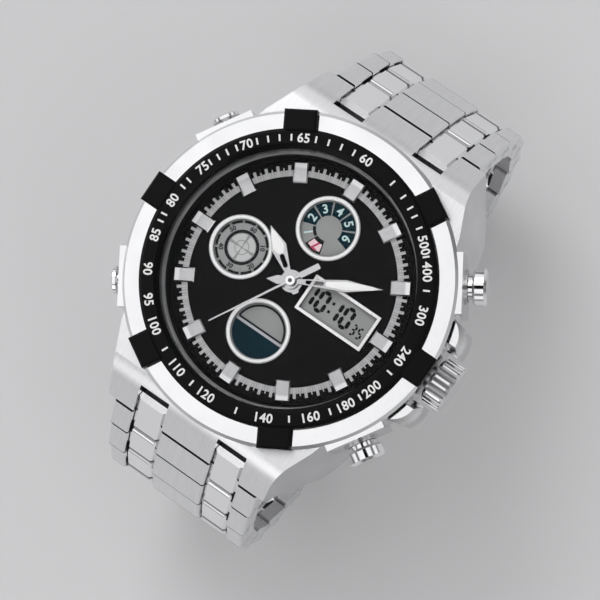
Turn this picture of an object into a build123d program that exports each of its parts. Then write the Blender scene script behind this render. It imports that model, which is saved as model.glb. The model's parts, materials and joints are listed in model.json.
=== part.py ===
from build123d import *
import os
from math import cos, radians, sin

# Analogue and digital wristwatch on a five-row steel bracelet, in millimetres.
# The origin is the centre of the flat outer face of the case back.
# +Z points out of the dial, +Y to 12 o'clock and +X to the crown.

# Fits
overrun = 1.0
press_fit = 0.02
slide_fit = 0.1
seat_gap = 0.05

# Case
case_ring_width = 2.75
case_belly_out = 0.3
case_foot_in = 1.6
case_foot_z = 0.7
case_belly_z = 5.6
case_shoulder_z = 9.8
case_top_z = 12.0
case_top_edge = 0.45
dial_seat_width = 0.8
case_hub_z = 6.2

# Lugs and hood
lug_tip_extra = 0.9
lug_knee_in = 5.1
lug_root_in = 1.5
lug_knee_back = 5.0
lug_root_y = 6.0
lug_draft = 12
lug_top_drop = 0.7
lug_shoulder_back = 1.8
lug_waist_out = 0.1
lug_waist_drop = 1.05
lug_bend_out = 1.75
lug_bend_drop = 2.8
lug_foot_back = 3.2
ear_slot_gap = 0.1

# Crown guards and pusher pads
guard_gap = 0.45
guard_end_out = 1.7
guard_bow_out = 1.65
guard_bow_along = 2.05
guard_shoulder_out = 0.9
guard_shoulder_along = 3.65
guard_root_in = 3.4
guard_root_along = 4.95
guard_height = 7.6
guard_edge = 1.1
crown_flat_depth = 0.2
pad_width = 8.6
pad_bottom_z = 2.7
pad_top_drop = 0.4
pad_out = 0.5

# Case back
back_rim_width = 3.3
back_thickness = 1.5
back_edge = 0.35
back_gasket_in = 0.45
back_gasket_width = 0.6
back_gasket_height = 0.6
back_screw_count = 8
back_screw_in = 1.0
back_screw_head_radius = 0.75
back_screw_head = 0.55
back_screw_radius = 0.4
back_screw_length = 3.6
back_screw_slot = 0.25

# Bezel, crystal and flange
bezel_seat_drop = 1.4
bezel_rise = 1.6
bezel_lip = 0.25
bezel_inner_slope = 0.35
bezel_outer_slope = 0.5
tab_count = 6
tab_width = 4.7
tab_drop = 0.5
tab_rise = 1.25
tab_edge = 0.3
crystal_radius = 18.2
bezel_width = 2.55
crystal_thickness = 1.9
crystal_edge = 0.2
gasket_wall = 0.3
gasket_height = 1.5
flange_height = 2.2
flange_foot_in = 0.85
flange_top_in = 0.2

# Dial
dial_seat_z = 8.4
dial_extra = 0.1
dial_thickness = 0.4
dial_centre_hole = 1.3
marker_count = 12
marker_length = 3.0
marker_width = 2.1
marker_gap = 0.4
marker_height = 0.55
marker_edge = 0.18
subdial_outer = 4.6
subdial_inner = 4.0
subdial_ring_height = 0.35
subdial_12_gap = 0.35
subdial_9_gap = 0.5
subdial_6_gap = 0.95
lcd_gap = 0.45
lcd_frame_length = 11.1
lcd_frame_width = 5.6
lcd_frame_border = 0.42
lcd_frame_height = 0.3
display_thickness = 0.6
display_margin = 0.35

# Hands
seconds_length = 12.8
seconds_tail = 4.6
seconds_half_width = 0.17
seconds_tail_half_width = 0.42
seconds_clock_angle = 210
minute_length = 13.2
minute_tail = 3.5
minute_half_width = 0.85
minute_clock_angle = 62
hour_length = 8.5
hour_tail = 1.9
hour_half_width = 1.15
hour_clock_angle = 305
hand_thickness = 0.2
hand_gap = 0.25
hand_hub_wall = 0.55
hour_window_shares = (0.24, 0.48, 0.3)
minute_window_shares = (0.16, 0.36, 0.32)
cap_radius = 0.75
cap_height = 0.2

# Works
holder_gap = 0.2
holder_wall = 2.7
holder_slot_width = 4.0
plate_gap = 0.2
plate_thickness = 2.05
plate_skin = 0.4
train_cavity_radius = 6.4
board_thickness = 0.6
board_step = 0.1
board_gap = 0.1
wheel_thickness = 0.18
seconds_wheel_radius = 3.0
third_wheel_radius = 2.6
centre_wheel_radius = 2.7
hour_wheel_radius = 2.8
rotor_pinion_radius = 0.45
seconds_pinion_radius = 0.6
third_pinion_radius = 0.5
mesh_gap = 0.1
tooth_depth = 0.22
teeth_per_radius = 12
tooth_gap_shares = 3
third_wheel_angle = 215
rotor_angle = 135
arbor_radius = 0.2
minute_pipe_wall = 0.28
hour_pipe_wall = 0.35
pipe_gap = 0.1
rotor_radius = 0.95
rotor_height = 1.0
stator_length = 13.0
stator_width = 3.6
stator_thickness = 0.5
stator_leg = 1.6
stator_reach = 6.0
stator_hole_gap = 0.25
coil_radius = 0.8
coil_core_width = 1.4
coil_core_thickness = 0.4
battery_radius = 4.75
battery_thickness = 2.6
battery_rim = 0.8
battery_angle = -44.5
battery_edge = 0.3
clamp_thickness = 0.2
clamp_width = 3.0
buzzer_radius = 5.0
buzzer_thickness = 0.25
buzzer_rim = 0.7
buzzer_angle = -138
works_screw_count = 3
works_screw_in = 1.7
works_screw_angle = 30
works_screw_head_radius = 0.85
works_screw_head = 0.4
works_screw_radius = 0.45
works_screw_length = 1.8

# Crown
crown_radius = 3.6
crown_gap = 0.1
crown_length = 3.3
crown_edge = 0.5
crown_flutes = 24
crown_flute_radius = 0.3
crown_cavity_radius = 1.8
crown_cavity_depth = 1.5
crown_tube_radius = 1.5
crown_tube_wall = 0.78
crown_tube_gap = 0.1
crown_tube_out = 1.0
stem_radius = 0.6
stem_in_plate = 1.5
stem_end_wall = 1.0
stem_neck_radius = 0.35
stem_neck_back = 1.9
stem_neck_length = 0.6
clip_thickness = 0.4
clip_width = 3.0
clip_height = 2.6

# Pushers, right pair then left pair
pusher_angle = 32.5
pusher_stem_gap = 0.1
pusher_stem_radius = 0.7
pusher_tube_radius = 1.4
collar_floor = 0.3
collar_wall = 0.42
collar_depth = 0.85
collar_out = 0.3
pusher_gap = 0.7
right_neck_radius = 1.95
right_cap_radius = 2.7
right_cap_length = 2.0
left_neck_radius = 1.45
left_cap_radius = 2.1
left_cap_length = 1.0
pusher_edge_share = 0.14
pusher_spring_wall = 0.3

# Bracelet
pitch = 6.1
link_slopes = (55, 60, 70, 86, 103, 120, 137, 154)
first_pivot_out = 2.16
first_pivot_z = 5.15
link_thickness = 3.2
centre_half = 4.25
ear_outer = 9.2
lug_row_extra = 0.9
first_link_half = 12.4
link_taper = 0.25
row_gap = 0.07
seam = 0.2
head_seam = 0.5
straight_share = 0.999
hinge_setback = 1.05
ear_thickness = 3.1
ear_end_gap = 0.18
under_relief = 0.6
under_relief_level = -0.1
link_edge = 0.22
ear_edge = 0.55
hinge_pin_radius = 0.5
joint_pin_radius = 0.4
joint_pin_along = 2.75
pin_recess = 0.15
spring_bar_radius = 0.75
spring_bar_skin = 0.6
nose_back = 2.6
nose_level = 0.3
nose_under = 1.2

# Clasp
cover_drop = 2.9
cover_thickness = 1.1
cover_half_width = 9.9
cover_wall = 1.0
cover_wall_drop = 0.8
cover_corner = 1.6
cover_end_setback = 1.5
cover_ear_reach = 4.5
cover_ear_lean = 0.85
blade_thickness = 0.9
long_blade_half = 6.8
short_blade_half = 6.4
long_hinge_in = 3.4
long_hinge_drop = 1.75
short_hinge_in = 5.6
short_hinge_drop = 1.18
knuckle_radius = 0.95
knuckle_room = 3
knuckle_split = 4.1
blade_pin_radius = 0.45
blade_slot_width = 4.6
blade_slot_length = 18.0
end_bar_radius = 0.6
end_bar_gap = 0.18
hook_lip = 0.7
end_barrel_radius = 1.15
end_centre_setback = 1.9

# Radii, places and heights worked out from the sizes above
bezel_inner = crystal_radius + gasket_wall
bezel_outer = bezel_inner + bezel_width
case_radius = bezel_outer + case_ring_width
dial_radius = crystal_radius + dial_extra
works_bore_radius = dial_radius - dial_seat_width
holder_outer = works_bore_radius - holder_gap
holder_inner = holder_outer - holder_wall
plate_radius = holder_inner - plate_gap
board_radius = plate_radius - board_step
works_screw_circle = plate_radius - works_screw_in
battery_place = plate_radius - battery_rim - battery_radius
buzzer_place = holder_inner - buzzer_rim - buzzer_radius
back_radius = case_radius - back_rim_width
back_screw_circle = back_radius - back_screw_in
back_gasket_inner = works_bore_radius + back_gasket_in
back_gasket_outer = back_gasket_inner + back_gasket_width
flange_inner_bottom = crystal_radius - flange_foot_in
flange_inner_top = crystal_radius - flange_top_in
marker_inner = flange_inner_bottom - marker_gap - marker_length
subdial_12_y = marker_inner - subdial_12_gap - subdial_outer
subdial_9_x = -(marker_inner - subdial_9_gap - subdial_outer)
subdial_6_y = -(marker_inner - subdial_6_gap - subdial_outer)
lcd_middle_x = marker_inner - lcd_gap - lcd_frame_length / 2
case_belly_radius = case_radius + case_belly_out
case_foot_radius = case_radius - case_foot_in
first_pivot_y = case_radius + first_pivot_out
lug_row_half = first_link_half + lug_row_extra
lug_base_half_width = lug_row_half + lug_tip_extra
lug_knee_half_width = case_radius - lug_knee_in
lug_root_half_width = case_radius - lug_root_in
lug_knee_y = case_radius - lug_knee_back
lug_top_z = case_top_z - lug_top_drop
lug_shoulder_y = case_radius - lug_shoulder_back
lug_waist_y = case_radius + lug_waist_out
lug_waist_z = lug_top_z - lug_waist_drop
lug_bend_y = case_radius + lug_bend_out
lug_bend_z = lug_top_z - lug_bend_drop
lug_foot_y = case_radius - lug_foot_back
ear_slot_y = case_radius + ear_slot_gap
guard_inner_y = crown_radius + guard_gap
guard_end_x = case_radius + guard_end_out
guard_bow_x = case_radius + guard_bow_out
guard_bow_y = guard_inner_y + guard_bow_along
guard_shoulder_x = case_radius + guard_shoulder_out
guard_shoulder_y = guard_inner_y + guard_shoulder_along
guard_root_x = case_radius - guard_root_in
guard_root_y = guard_inner_y + guard_root_along
crown_flat_x = case_radius - crown_flat_depth
pad_radius = case_radius + pad_out
pad_top_z = case_top_z - pad_top_drop
bezel_seat_z = case_top_z - bezel_seat_drop
bezel_top_z = case_top_z + bezel_rise
tab_bottom_z = case_top_z - tab_drop
tab_top_z = case_top_z + tab_rise
dial_top_z = dial_seat_z + dial_thickness
crystal_seat_z = dial_top_z + flange_height
upper_bore_radius = dial_radius + slide_fit
crown_inner_x = case_radius + crown_gap
crown_outer_x = crown_inner_x + crown_length
crown_tube_inner_x = works_bore_radius + crown_tube_gap
crown_tube_outer_x = crown_inner_x + crown_tube_out
stem_inner_x = plate_radius - stem_in_plate
stem_outer_x = crown_outer_x - stem_end_wall
stem_neck_x = works_bore_radius - stem_neck_back
stem_end_radius = works_bore_radius - pusher_stem_gap
collar_end_radius = pad_radius + collar_out
plate_top_z = dial_seat_z - display_thickness - 2 * seat_gap
plate_bottom_z = plate_top_z - plate_thickness
board_top_z = plate_bottom_z - board_gap
board_bottom_z = board_top_z - board_thickness
hour_hand_z = dial_top_z + subdial_ring_height + hand_gap / 2
minute_hand_z = hour_hand_z + hand_thickness + hand_gap
seconds_hand_z = minute_hand_z + hand_thickness + hand_gap
half_link = link_thickness / 2
half_ear = ear_thickness / 2
minute_pipe_radius = arbor_radius + pipe_gap + minute_pipe_wall
hour_pipe_radius = minute_pipe_radius + pipe_gap + hour_pipe_wall


def pivots():
    """Hinge lines of the 12 o'clock half, as (y, z), from the lug to the clasp."""
    spots = [(first_pivot_y, first_pivot_z)]
    for slope in link_slopes:
        y, z = spots[-1]
        spots.append((y + pitch * cos(radians(slope)), z - pitch * sin(radians(slope))))
    return spots


hinge_line = pivots()
clasp_y, clasp_z = hinge_line[-1]
long_hinge_y = -clasp_y + long_hinge_in
long_hinge_z = clasp_z - long_hinge_drop
short_hinge_y = clasp_y - short_hinge_in
short_hinge_z = clasp_z - short_hinge_drop


def save(part, name):
    """Label a finished piece and write its file."""
    part.label = name
    export_step(part, f"parts/{name}.step")


def link_plane(side, number):
    """Plane of link 1, 2 and on: x runs along the band, y outwards, origin on its first hinge."""
    y, z = hinge_line[number - 1]
    slope = radians(link_slopes[number - 1])
    along = (0, side * cos(slope), -sin(slope))
    return Plane(origin=(0, side * y, z), x_dir=along, z_dir=(side, 0, 0))


def radial_plane(angle):
    """Plane through the case centre line: x runs outwards at this angle, y upwards."""
    out = (cos(radians(angle)), sin(radians(angle)), 0)
    side = (sin(radians(angle)), -cos(radians(angle)), 0)
    return Plane(origin=(0, 0, case_hub_z), x_dir=out, z_dir=side)


def outward_plane(angle):
    """Plane on the centre line that faces outwards at this angle, with x level."""
    out = (cos(radians(angle)), sin(radians(angle)), 0)
    level = (-sin(radians(angle)), cos(radians(angle)), 0)
    return Plane(origin=(0, 0, case_hub_z), x_dir=level, z_dir=out)


def radial_axis(angle):
    """Axis that runs outwards at this angle, at the height of the crown."""
    return Axis((0, 0, case_hub_z), (cos(radians(angle)), sin(radians(angle)), 0))


def turned(angle, outline):
    """Solid turned about a radial axis, from its outline as (distance out, radius)."""
    with BuildPart() as piece:
        with BuildSketch(radial_plane(angle)):
            with BuildLine():
                Polyline(*outline, close=True)
            make_face()
        revolve(axis=radial_axis(angle))
    return piece.part


def ring(outer, inner, bottom, height):
    """Plain flat ring round the Z axis."""
    with BuildPart() as piece:
        with BuildSketch(Plane.XY.offset(bottom)):
            Circle(outer)
            Circle(inner, mode=Mode.SUBTRACT)
        extrude(amount=height)
    return piece.part


def cross_bar(y, z, radius, half_length):
    """Round pin across the bracelet."""
    with BuildPart() as piece:
        with BuildSketch(Plane.YZ):
            with Locations((y, z)):
                Circle(radius)
        extrude(amount=half_length, both=True)
    return piece.part


# Case middle

def lug_pair():
    """Both lug blocks with the hood between them, before slots and holes."""
    tip = link_plane(1, 1)
    top = tip.from_local_coords(Vector(hinge_setback - seam / 2, half_link))
    under = tip.from_local_coords(Vector(hinge_setback - seam / 2, -half_link))
    far_y = top.Y + overrun
    with BuildPart() as piece:
        with BuildSketch(Plane.XY.offset(case_foot_z)):
            with BuildLine():
                Polyline(
                    (-lug_base_half_width, far_y),
                    (-lug_knee_half_width, lug_knee_y),
                    (-lug_root_half_width, lug_root_y),
                    (lug_root_half_width, lug_root_y),
                    (lug_knee_half_width, lug_knee_y),
                    (lug_base_half_width, far_y),
                    close=True,
                )
            make_face()
        extrude(amount=case_top_z - case_foot_z, taper=lug_draft)
        with BuildSketch(Plane.YZ.offset(-lug_root_half_width)):
            with BuildLine():
                Polyline(
                    (lug_shoulder_y, lug_top_z),
                    (lug_root_y, lug_top_z),
                    (lug_root_y, case_foot_z),
                    (lug_foot_y, case_foot_z),
                    (under.Y, under.Z),
                    (top.Y, top.Z),
                    (lug_bend_y, lug_bend_z),
                )
                ThreePointArc(
                    (lug_bend_y, lug_bend_z),
                    (lug_waist_y, lug_waist_z),
                    (lug_shoulder_y, lug_top_z),
                )
            make_face()
        extrude(amount=2 * lug_root_half_width, mode=Mode.INTERSECT)
        mirror(about=Plane.XZ)
    return piece.part


def crown_guards():
    """The two swellings that shelter the crown."""
    with BuildPart() as piece:
        with BuildSketch(Plane.XY.offset(case_hub_z - guard_height / 2)):
            with BuildLine():
                Line((guard_root_x, guard_inner_y), (guard_end_x, guard_inner_y))
                ThreePointArc(
                    (guard_end_x, guard_inner_y),
                    (guard_bow_x, guard_bow_y),
                    (guard_shoulder_x, guard_shoulder_y),
                )
                Polyline(
                    (guard_shoulder_x, guard_shoulder_y),
                    (guard_root_x, guard_root_y),
                    (guard_root_x, guard_inner_y),
                )
            make_face()
        extrude(amount=guard_height)
        ends = piece.edges().group_by(Axis.Z)
        for level in (ends[0], ends[-1]):
            chamfer(level.sort_by(Axis.X)[-2:], guard_edge)
        mirror(about=Plane.XZ)
    return piece.part


def pusher_pads():
    """Flat plates on the flank that carry the four pushers."""
    with BuildPart() as piece:
        for angle in pusher_angles():
            with BuildSketch(outward_plane(angle).offset(case_foot_radius - overrun)):
                with Locations((0, (pad_bottom_z + pad_top_z) / 2 - case_hub_z)):
                    Rectangle(pad_width, pad_top_z - pad_bottom_z)
            extrude(amount=pad_radius - case_foot_radius + overrun)
    return piece.part


def pusher_angles():
    """Angles of the pushers at 2, 4, 8 and 10 o'clock, counted from 3 o'clock."""
    return (pusher_angle, -pusher_angle, pusher_angle - 180, 180 - pusher_angle)


def case_middle():
    """The body of the case, with its lugs, seats, bores and slots."""
    lugs = lug_pair()
    guards = crown_guards()
    pads = pusher_pads()
    with BuildPart() as piece:
        with BuildSketch(Plane.XZ):
            with BuildLine():
                Line((0, case_foot_z), (case_foot_radius, case_foot_z))
                ThreePointArc(
                    (case_foot_radius, case_foot_z),
                    (case_belly_radius, case_belly_z),
                    (case_radius, case_shoulder_z),
                )
                Polyline(
                    (case_radius, case_shoulder_z),
                    (case_radius, case_top_z - case_top_edge),
                    (case_radius - case_top_edge, case_top_z),
                    (0, case_top_z),
                    (0, case_foot_z),
                )
            make_face()
        revolve(axis=Axis.Z)
        add(lugs)
        add(guards)
        add(pads)
        add(case_bores(), mode=Mode.SUBTRACT)
        add(case_slots(), mode=Mode.SUBTRACT)
        add(case_cross_holes(), mode=Mode.SUBTRACT)
    return piece.part


def case_bores():
    """What is cut on the centre line: back seat, works, dial, bezel, gasket groove and threads."""
    with BuildPart() as cut:
        with BuildSketch(Plane.XY.offset(-overrun)):
            Circle(back_radius + seat_gap)
        extrude(amount=back_thickness + overrun)
        with BuildSketch(Plane.XY):
            Circle(works_bore_radius)
        extrude(amount=dial_seat_z)
        with BuildSketch(Plane.XY.offset(dial_seat_z)):
            Circle(upper_bore_radius)
        extrude(amount=case_top_z)
        with BuildSketch(Plane.XY.offset(bezel_seat_z)):
            Circle(bezel_outer + seat_gap)
        extrude(amount=case_top_z)
        with BuildSketch(Plane.XY.offset(back_thickness)):
            Circle(back_gasket_outer + press_fit)
            Circle(back_gasket_inner - press_fit, mode=Mode.SUBTRACT)
        extrude(amount=back_gasket_height + press_fit)
        with BuildSketch(Plane.XY.offset(back_thickness)):
            with PolarLocations(back_screw_circle, back_screw_count):
                Circle(back_screw_radius + press_fit)
        extrude(amount=back_screw_length)
    return cut.part


def case_slots():
    """What is cut for the bezel's tabs, the crown and the first links' ears."""
    slot = ear_outer - centre_half
    middle = centre_half + slot / 2
    far = ear_slot_y + pitch / 2
    with BuildPart() as cut:
        with BuildSketch(Plane.XY.offset(tab_bottom_z - seat_gap)):
            with PolarLocations(case_radius, tab_count):
                Rectangle(2 * (case_radius - bezel_outer) + overrun, tab_width + 2 * seat_gap)
        extrude(amount=case_top_z)
        with BuildSketch(Plane.YZ.offset(crown_flat_x)):
            with Locations((0, case_hub_z)):
                Rectangle(2 * guard_inner_y, 2 * guard_height)
        extrude(amount=guard_height)
        with BuildSketch(Plane.XY.offset(-overrun)):
            with Locations((middle, far), (-middle, far), (middle, -far), (-middle, -far)):
                Rectangle(slot, pitch)
        extrude(amount=case_top_z + 2 * overrun)
    return cut.part


def case_cross_holes():
    """What is cut for the crown tube, the pusher tubes and the spring bars."""
    with BuildPart() as cut:
        with BuildSketch(Plane.YZ):
            with Locations((0, case_hub_z)):
                Circle(crown_tube_radius + press_fit)
        extrude(amount=case_radius + pitch)
        for angle in pusher_angles():
            sizes = pusher_sizes(angle)
            with BuildSketch(outward_plane(angle)):
                Circle(pusher_tube_radius + press_fit)
            extrude(amount=case_radius + pitch)
            with BuildSketch(outward_plane(angle).offset(sizes["collar_in"] - press_fit)):
                Circle(sizes["collar"] + press_fit)
            extrude(amount=pitch)
        for side in (1, -1):
            with BuildSketch(Plane.YZ):
                with Locations((side * first_pivot_y, first_pivot_z)):
                    Circle(spring_bar_radius + press_fit)
            extrude(amount=lug_row_half - spring_bar_skin, both=True)
    return cut.part


# Bezel, crystal, flange and dial

def bezel_tabs():
    """Six bevelled blocks that reach over the case ring."""
    inner = bezel_outer - 2 * bezel_outer_slope
    with BuildPart() as piece:
        with BuildSketch(Plane.XY.offset(tab_bottom_z)):
            with PolarLocations((case_radius + inner) / 2, tab_count):
                Rectangle(case_radius - inner, tab_width)
        extrude(amount=tab_top_z - tab_bottom_z)
        chamfer(piece.edges().group_by(Axis.Z)[-1], tab_edge)
    return piece.part


def bezel_ring():
    """Black ring for the scale, with its six tabs."""
    tabs = bezel_tabs()
    with BuildPart() as piece:
        with BuildSketch(Plane.XZ):
            with BuildLine():
                Polyline(
                    (bezel_inner, bezel_seat_z),
                    (bezel_outer, bezel_seat_z),
                    (bezel_outer, bezel_top_z - bezel_outer_slope),
                    (bezel_outer - bezel_outer_slope, bezel_top_z),
                    (bezel_inner + bezel_inner_slope, bezel_top_z),
                    (crystal_radius + seat_gap, bezel_top_z - bezel_inner_slope),
                    (crystal_radius + seat_gap, crystal_seat_z + gasket_height + bezel_lip / 2),
                    (bezel_inner, crystal_seat_z + gasket_height + bezel_lip / 2),
                    close=True,
                )
            make_face()
        revolve(axis=Axis.Z)
        add(tabs)
    return piece.part


def crystal():
    """Flat glass with a small polished edge."""
    with BuildPart() as piece:
        with BuildSketch(Plane.XY.offset(crystal_seat_z)):
            Circle(crystal_radius)
        extrude(amount=crystal_thickness)
        chamfer(piece.edges().group_by(Axis.Z)[-1], crystal_edge)
    return piece.part


def rehaut_ring():
    """Black flange between dial and glass, leaning outwards."""
    with BuildPart() as piece:
        with BuildSketch(Plane.XZ):
            with BuildLine():
                Polyline(
                    (flange_inner_bottom, dial_top_z),
                    (dial_radius, dial_top_z),
                    (dial_radius, crystal_seat_z),
                    (flange_inner_top, crystal_seat_z),
                    close=True,
                )
            make_face()
        revolve(axis=Axis.Z)
    return piece.part


def subdial_places():
    """Centres of the three round subdials."""
    return ((0, subdial_12_y), (subdial_9_x, 0), (0, subdial_6_y))


def dial():
    """Dial plate with its windows and its centre hole."""
    with BuildPart() as piece:
        with BuildSketch(Plane.XY.offset(dial_seat_z)):
            Circle(dial_radius)
            Circle(dial_centre_hole, mode=Mode.SUBTRACT)
            with Locations(*subdial_places()):
                Circle(subdial_inner, mode=Mode.SUBTRACT)
            with Locations((lcd_middle_x, 0)):
                Rectangle(
                    lcd_frame_length - 2 * lcd_frame_border,
                    lcd_frame_width - 2 * lcd_frame_border,
                    mode=Mode.SUBTRACT,
                )
        extrude(amount=dial_thickness)
    return piece.part


def hour_markers():
    """Twelve applied blocks with bevelled tops."""
    with BuildPart() as piece:
        with BuildSketch(Plane.XY.offset(dial_top_z)):
            with PolarLocations(marker_inner + marker_length / 2, marker_count):
                Rectangle(marker_length, marker_width)
        extrude(amount=marker_height)
        chamfer(piece.edges().group_by(Axis.Z)[-1], marker_edge)
    return piece.part


def subdial_rings():
    """Polished rings round the three subdials."""
    with BuildPart() as piece:
        with BuildSketch(Plane.XY.offset(dial_top_z)):
            with Locations(*subdial_places()):
                Circle(subdial_outer)
                Circle(subdial_inner, mode=Mode.SUBTRACT)
        extrude(amount=subdial_ring_height)
        chamfer(piece.edges().group_by(Axis.Z)[-1], (subdial_outer - subdial_inner) / 4)
    return piece.part


def lcd_frame():
    """Frame round the digital display."""
    with BuildPart() as piece:
        with BuildSketch(Plane.XY.offset(dial_top_z)):
            with Locations((lcd_middle_x, 0)):
                Rectangle(lcd_frame_length, lcd_frame_width)
                Rectangle(
                    lcd_frame_length - 2 * lcd_frame_border,
                    lcd_frame_width - 2 * lcd_frame_border,
                    mode=Mode.SUBTRACT,
                )
        extrude(amount=lcd_frame_height)
    return piece.part


def time_display():
    """Digital panel under the dial's rectangular window."""
    with BuildPart() as piece:
        with BuildSketch(Plane.XY.offset(dial_seat_z - seat_gap - display_thickness)):
            with Locations((lcd_middle_x, 0)):
                Rectangle(lcd_frame_length + display_margin, lcd_frame_width + display_margin)
        extrude(amount=display_thickness)
    return piece.part


def round_displays():
    """Three round panels under the round windows."""
    with BuildPart() as piece:
        with BuildSketch(Plane.XY.offset(dial_seat_z - seat_gap - display_thickness)):
            with Locations(*subdial_places()):
                Circle(subdial_inner + display_margin)
        extrude(amount=display_thickness)
    return piece.part


# Hands and their wheels

def hand_plane(z, clock_angle):
    """Flat plane whose x runs along a hand at this clock angle."""
    turn = radians(clock_angle)
    return Plane(origin=(0, 0, z), x_dir=(sin(turn), cos(turn), 0), z_dir=(0, 0, 1))


def hand(z, clock_angle, outline, bore, hub, window=None):
    """Flat hand from half its outline, as (along, half width), with a hub and a window."""
    below = [(x, -y) for x, y in outline if y > 0]
    with BuildPart() as piece:
        with BuildSketch(hand_plane(z, clock_angle)):
            with BuildLine():
                Polyline(*below, *reversed(outline), close=True)
            make_face()
            Circle(hub)
            Circle(bore, mode=Mode.SUBTRACT)
            if window:
                start, end, half = window
                with Locations(((start + end) / 2, 0)):
                    SlotOverall(end - start, 2 * half, mode=Mode.SUBTRACT)
        extrude(amount=hand_thickness)
    return piece.part


hour_outline_shares = ((-1.0, 0.35), (-0.6, 0.6), (0.12, 0.3), (0.62, 1.0), (1.0, 0.0))
minute_outline_shares = ((-1.0, 0.0), (-0.55, 0.75), (0.0, 0.42), (0.12, 0.42), (0.6, 1.0), (1.0, 0.0))


def hand_outline(shares, length, tail, half_width):
    """Real outline of a hand from its shares of length, tail and half width."""
    return [(x * (length if x > 0 else tail), y * half_width) for x, y in shares]


def hour_hand():
    """Short sword hand with an open base."""
    bore = hour_pipe_radius + press_fit
    outline = hand_outline(hour_outline_shares, hour_length, hour_tail, hour_half_width)
    start, end, half = hour_window_shares
    window = (hour_length * start, hour_length * end, hour_half_width * half)
    return hand(hour_hand_z, hour_clock_angle, outline, bore, bore + hand_hub_wall, window)


def minute_hand():
    """Long leaf hand with an open base and a leaf tail."""
    bore = minute_pipe_radius + press_fit
    outline = hand_outline(minute_outline_shares, minute_length, minute_tail, minute_half_width)
    start, end, half = minute_window_shares
    window = (minute_length * start, minute_length * end, minute_half_width * half)
    return hand(minute_hand_z, minute_clock_angle, outline, bore, bore + hand_hub_wall, window)


def seconds_hand():
    """Thin hand with a wider counterweight and a round cap."""
    tail_start = -seconds_tail / 3
    outline = [
        (-seconds_tail, seconds_tail_half_width),
        (tail_start, seconds_tail_half_width),
        (tail_start, seconds_half_width),
        (seconds_length, seconds_half_width / 2),
    ]
    bore = arbor_radius + press_fit
    blade = hand(seconds_hand_z, seconds_clock_angle, outline, bore, cap_radius)
    with BuildPart() as piece:
        add(blade)
        with BuildSketch(Plane.XY.offset(seconds_hand_z + hand_thickness)):
            Circle(cap_radius)
        extrude(amount=cap_height)
    return piece.part


def toothed_disc(radius, bore):
    """Sketch of a wheel with square-cut teeth, for the plane that is open."""
    teeth = int(radius * teeth_per_radius)
    Circle(radius)
    with PolarLocations(radius, teeth):
        Rectangle(2 * tooth_depth, tooth_gap_shares * radius / teeth, mode=Mode.SUBTRACT)
    if bore:
        Circle(bore, mode=Mode.SUBTRACT)


seconds_wheel_z = board_top_z + 2 * mesh_gap
third_wheel_z = seconds_wheel_z + wheel_thickness + mesh_gap
centre_wheel_z = third_wheel_z + wheel_thickness + 2 * mesh_gap
hour_wheel_z = centre_wheel_z + wheel_thickness + 2 * mesh_gap
arbor_foot_z = board_bottom_z + board_thickness / 3


def seconds_wheel():
    """Fourth wheel, whose long arbor carries the seconds hand."""
    with BuildPart() as piece:
        with BuildSketch(Plane.XY.offset(seconds_wheel_z)):
            toothed_disc(seconds_wheel_radius, 0)
        extrude(amount=wheel_thickness)
        with BuildSketch(Plane.XY.offset(seconds_wheel_z)):
            Circle(seconds_pinion_radius)
        extrude(amount=third_wheel_z + wheel_thickness - seconds_wheel_z)
        with BuildSketch(Plane.XY.offset(arbor_foot_z)):
            Circle(arbor_radius)
        extrude(amount=seconds_hand_z + hand_thickness - press_fit - arbor_foot_z)
    return piece.part


def pipe_wheel(z, wheel_radius, pipe_radius, wall, top):
    """Wheel on a hollow pipe that carries a hand."""
    with BuildPart() as piece:
        with BuildSketch(Plane.XY.offset(z)):
            toothed_disc(wheel_radius, pipe_radius - wall)
        extrude(amount=wheel_thickness)
        with BuildSketch(Plane.XY.offset(z)):
            Circle(pipe_radius)
            Circle(pipe_radius - wall, mode=Mode.SUBTRACT)
        extrude(amount=top - z)
    return piece.part


def polar(radius, angle):
    """Point at this radius and angle from 3 o'clock."""
    return (radius * cos(radians(angle)), radius * sin(radians(angle)))


third_place = polar(seconds_pinion_radius + third_wheel_radius + mesh_gap, third_wheel_angle)
rotor_place = polar(seconds_wheel_radius + rotor_pinion_radius + mesh_gap, rotor_angle)


def third_wheel():
    """Wheel and pinion between the seconds and the minute wheels."""
    with BuildPart() as piece:
        with BuildSketch(Plane.XY.offset(third_wheel_z)):
            with Locations(third_place):
                Circle(third_wheel_radius)
        extrude(amount=wheel_thickness)
        with BuildSketch(Plane.XY.offset(third_wheel_z)):
            with Locations(third_place):
                Circle(third_pinion_radius)
        extrude(amount=centre_wheel_z + wheel_thickness - third_wheel_z)
        with BuildSketch(Plane.XY.offset(arbor_foot_z)):
            with Locations(third_place):
                Circle(arbor_radius)
        extrude(amount=plate_top_z - plate_skin / 2 - arbor_foot_z)
    return piece.part


stator_z = board_bottom_z - stator_thickness - 2 * board_gap


def rotor():
    """Magnet of the stepping motor, with its pinion."""
    magnet_z = stator_z + stator_thickness / 2 - rotor_height / 2
    with BuildPart() as piece:
        with BuildSketch(Plane.XY.offset(magnet_z)):
            with Locations(rotor_place):
                Circle(rotor_radius)
        extrude(amount=rotor_height - board_gap)
        with BuildSketch(Plane.XY.offset(magnet_z)):
            with Locations(rotor_place):
                Circle(arbor_radius)
        extrude(amount=seconds_wheel_z + 2 * wheel_thickness - magnet_z)
        with BuildSketch(Plane.XY.offset(seconds_wheel_z)):
            with Locations(rotor_place):
                Circle(rotor_pinion_radius)
        extrude(amount=wheel_thickness)
    return piece.part


# Works

def works_screw_places():
    """Centres of the screws that hold board and plate together."""
    step = 360 / works_screw_count
    return [polar(works_screw_circle, works_screw_angle + step * n) for n in range(works_screw_count)]


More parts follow.
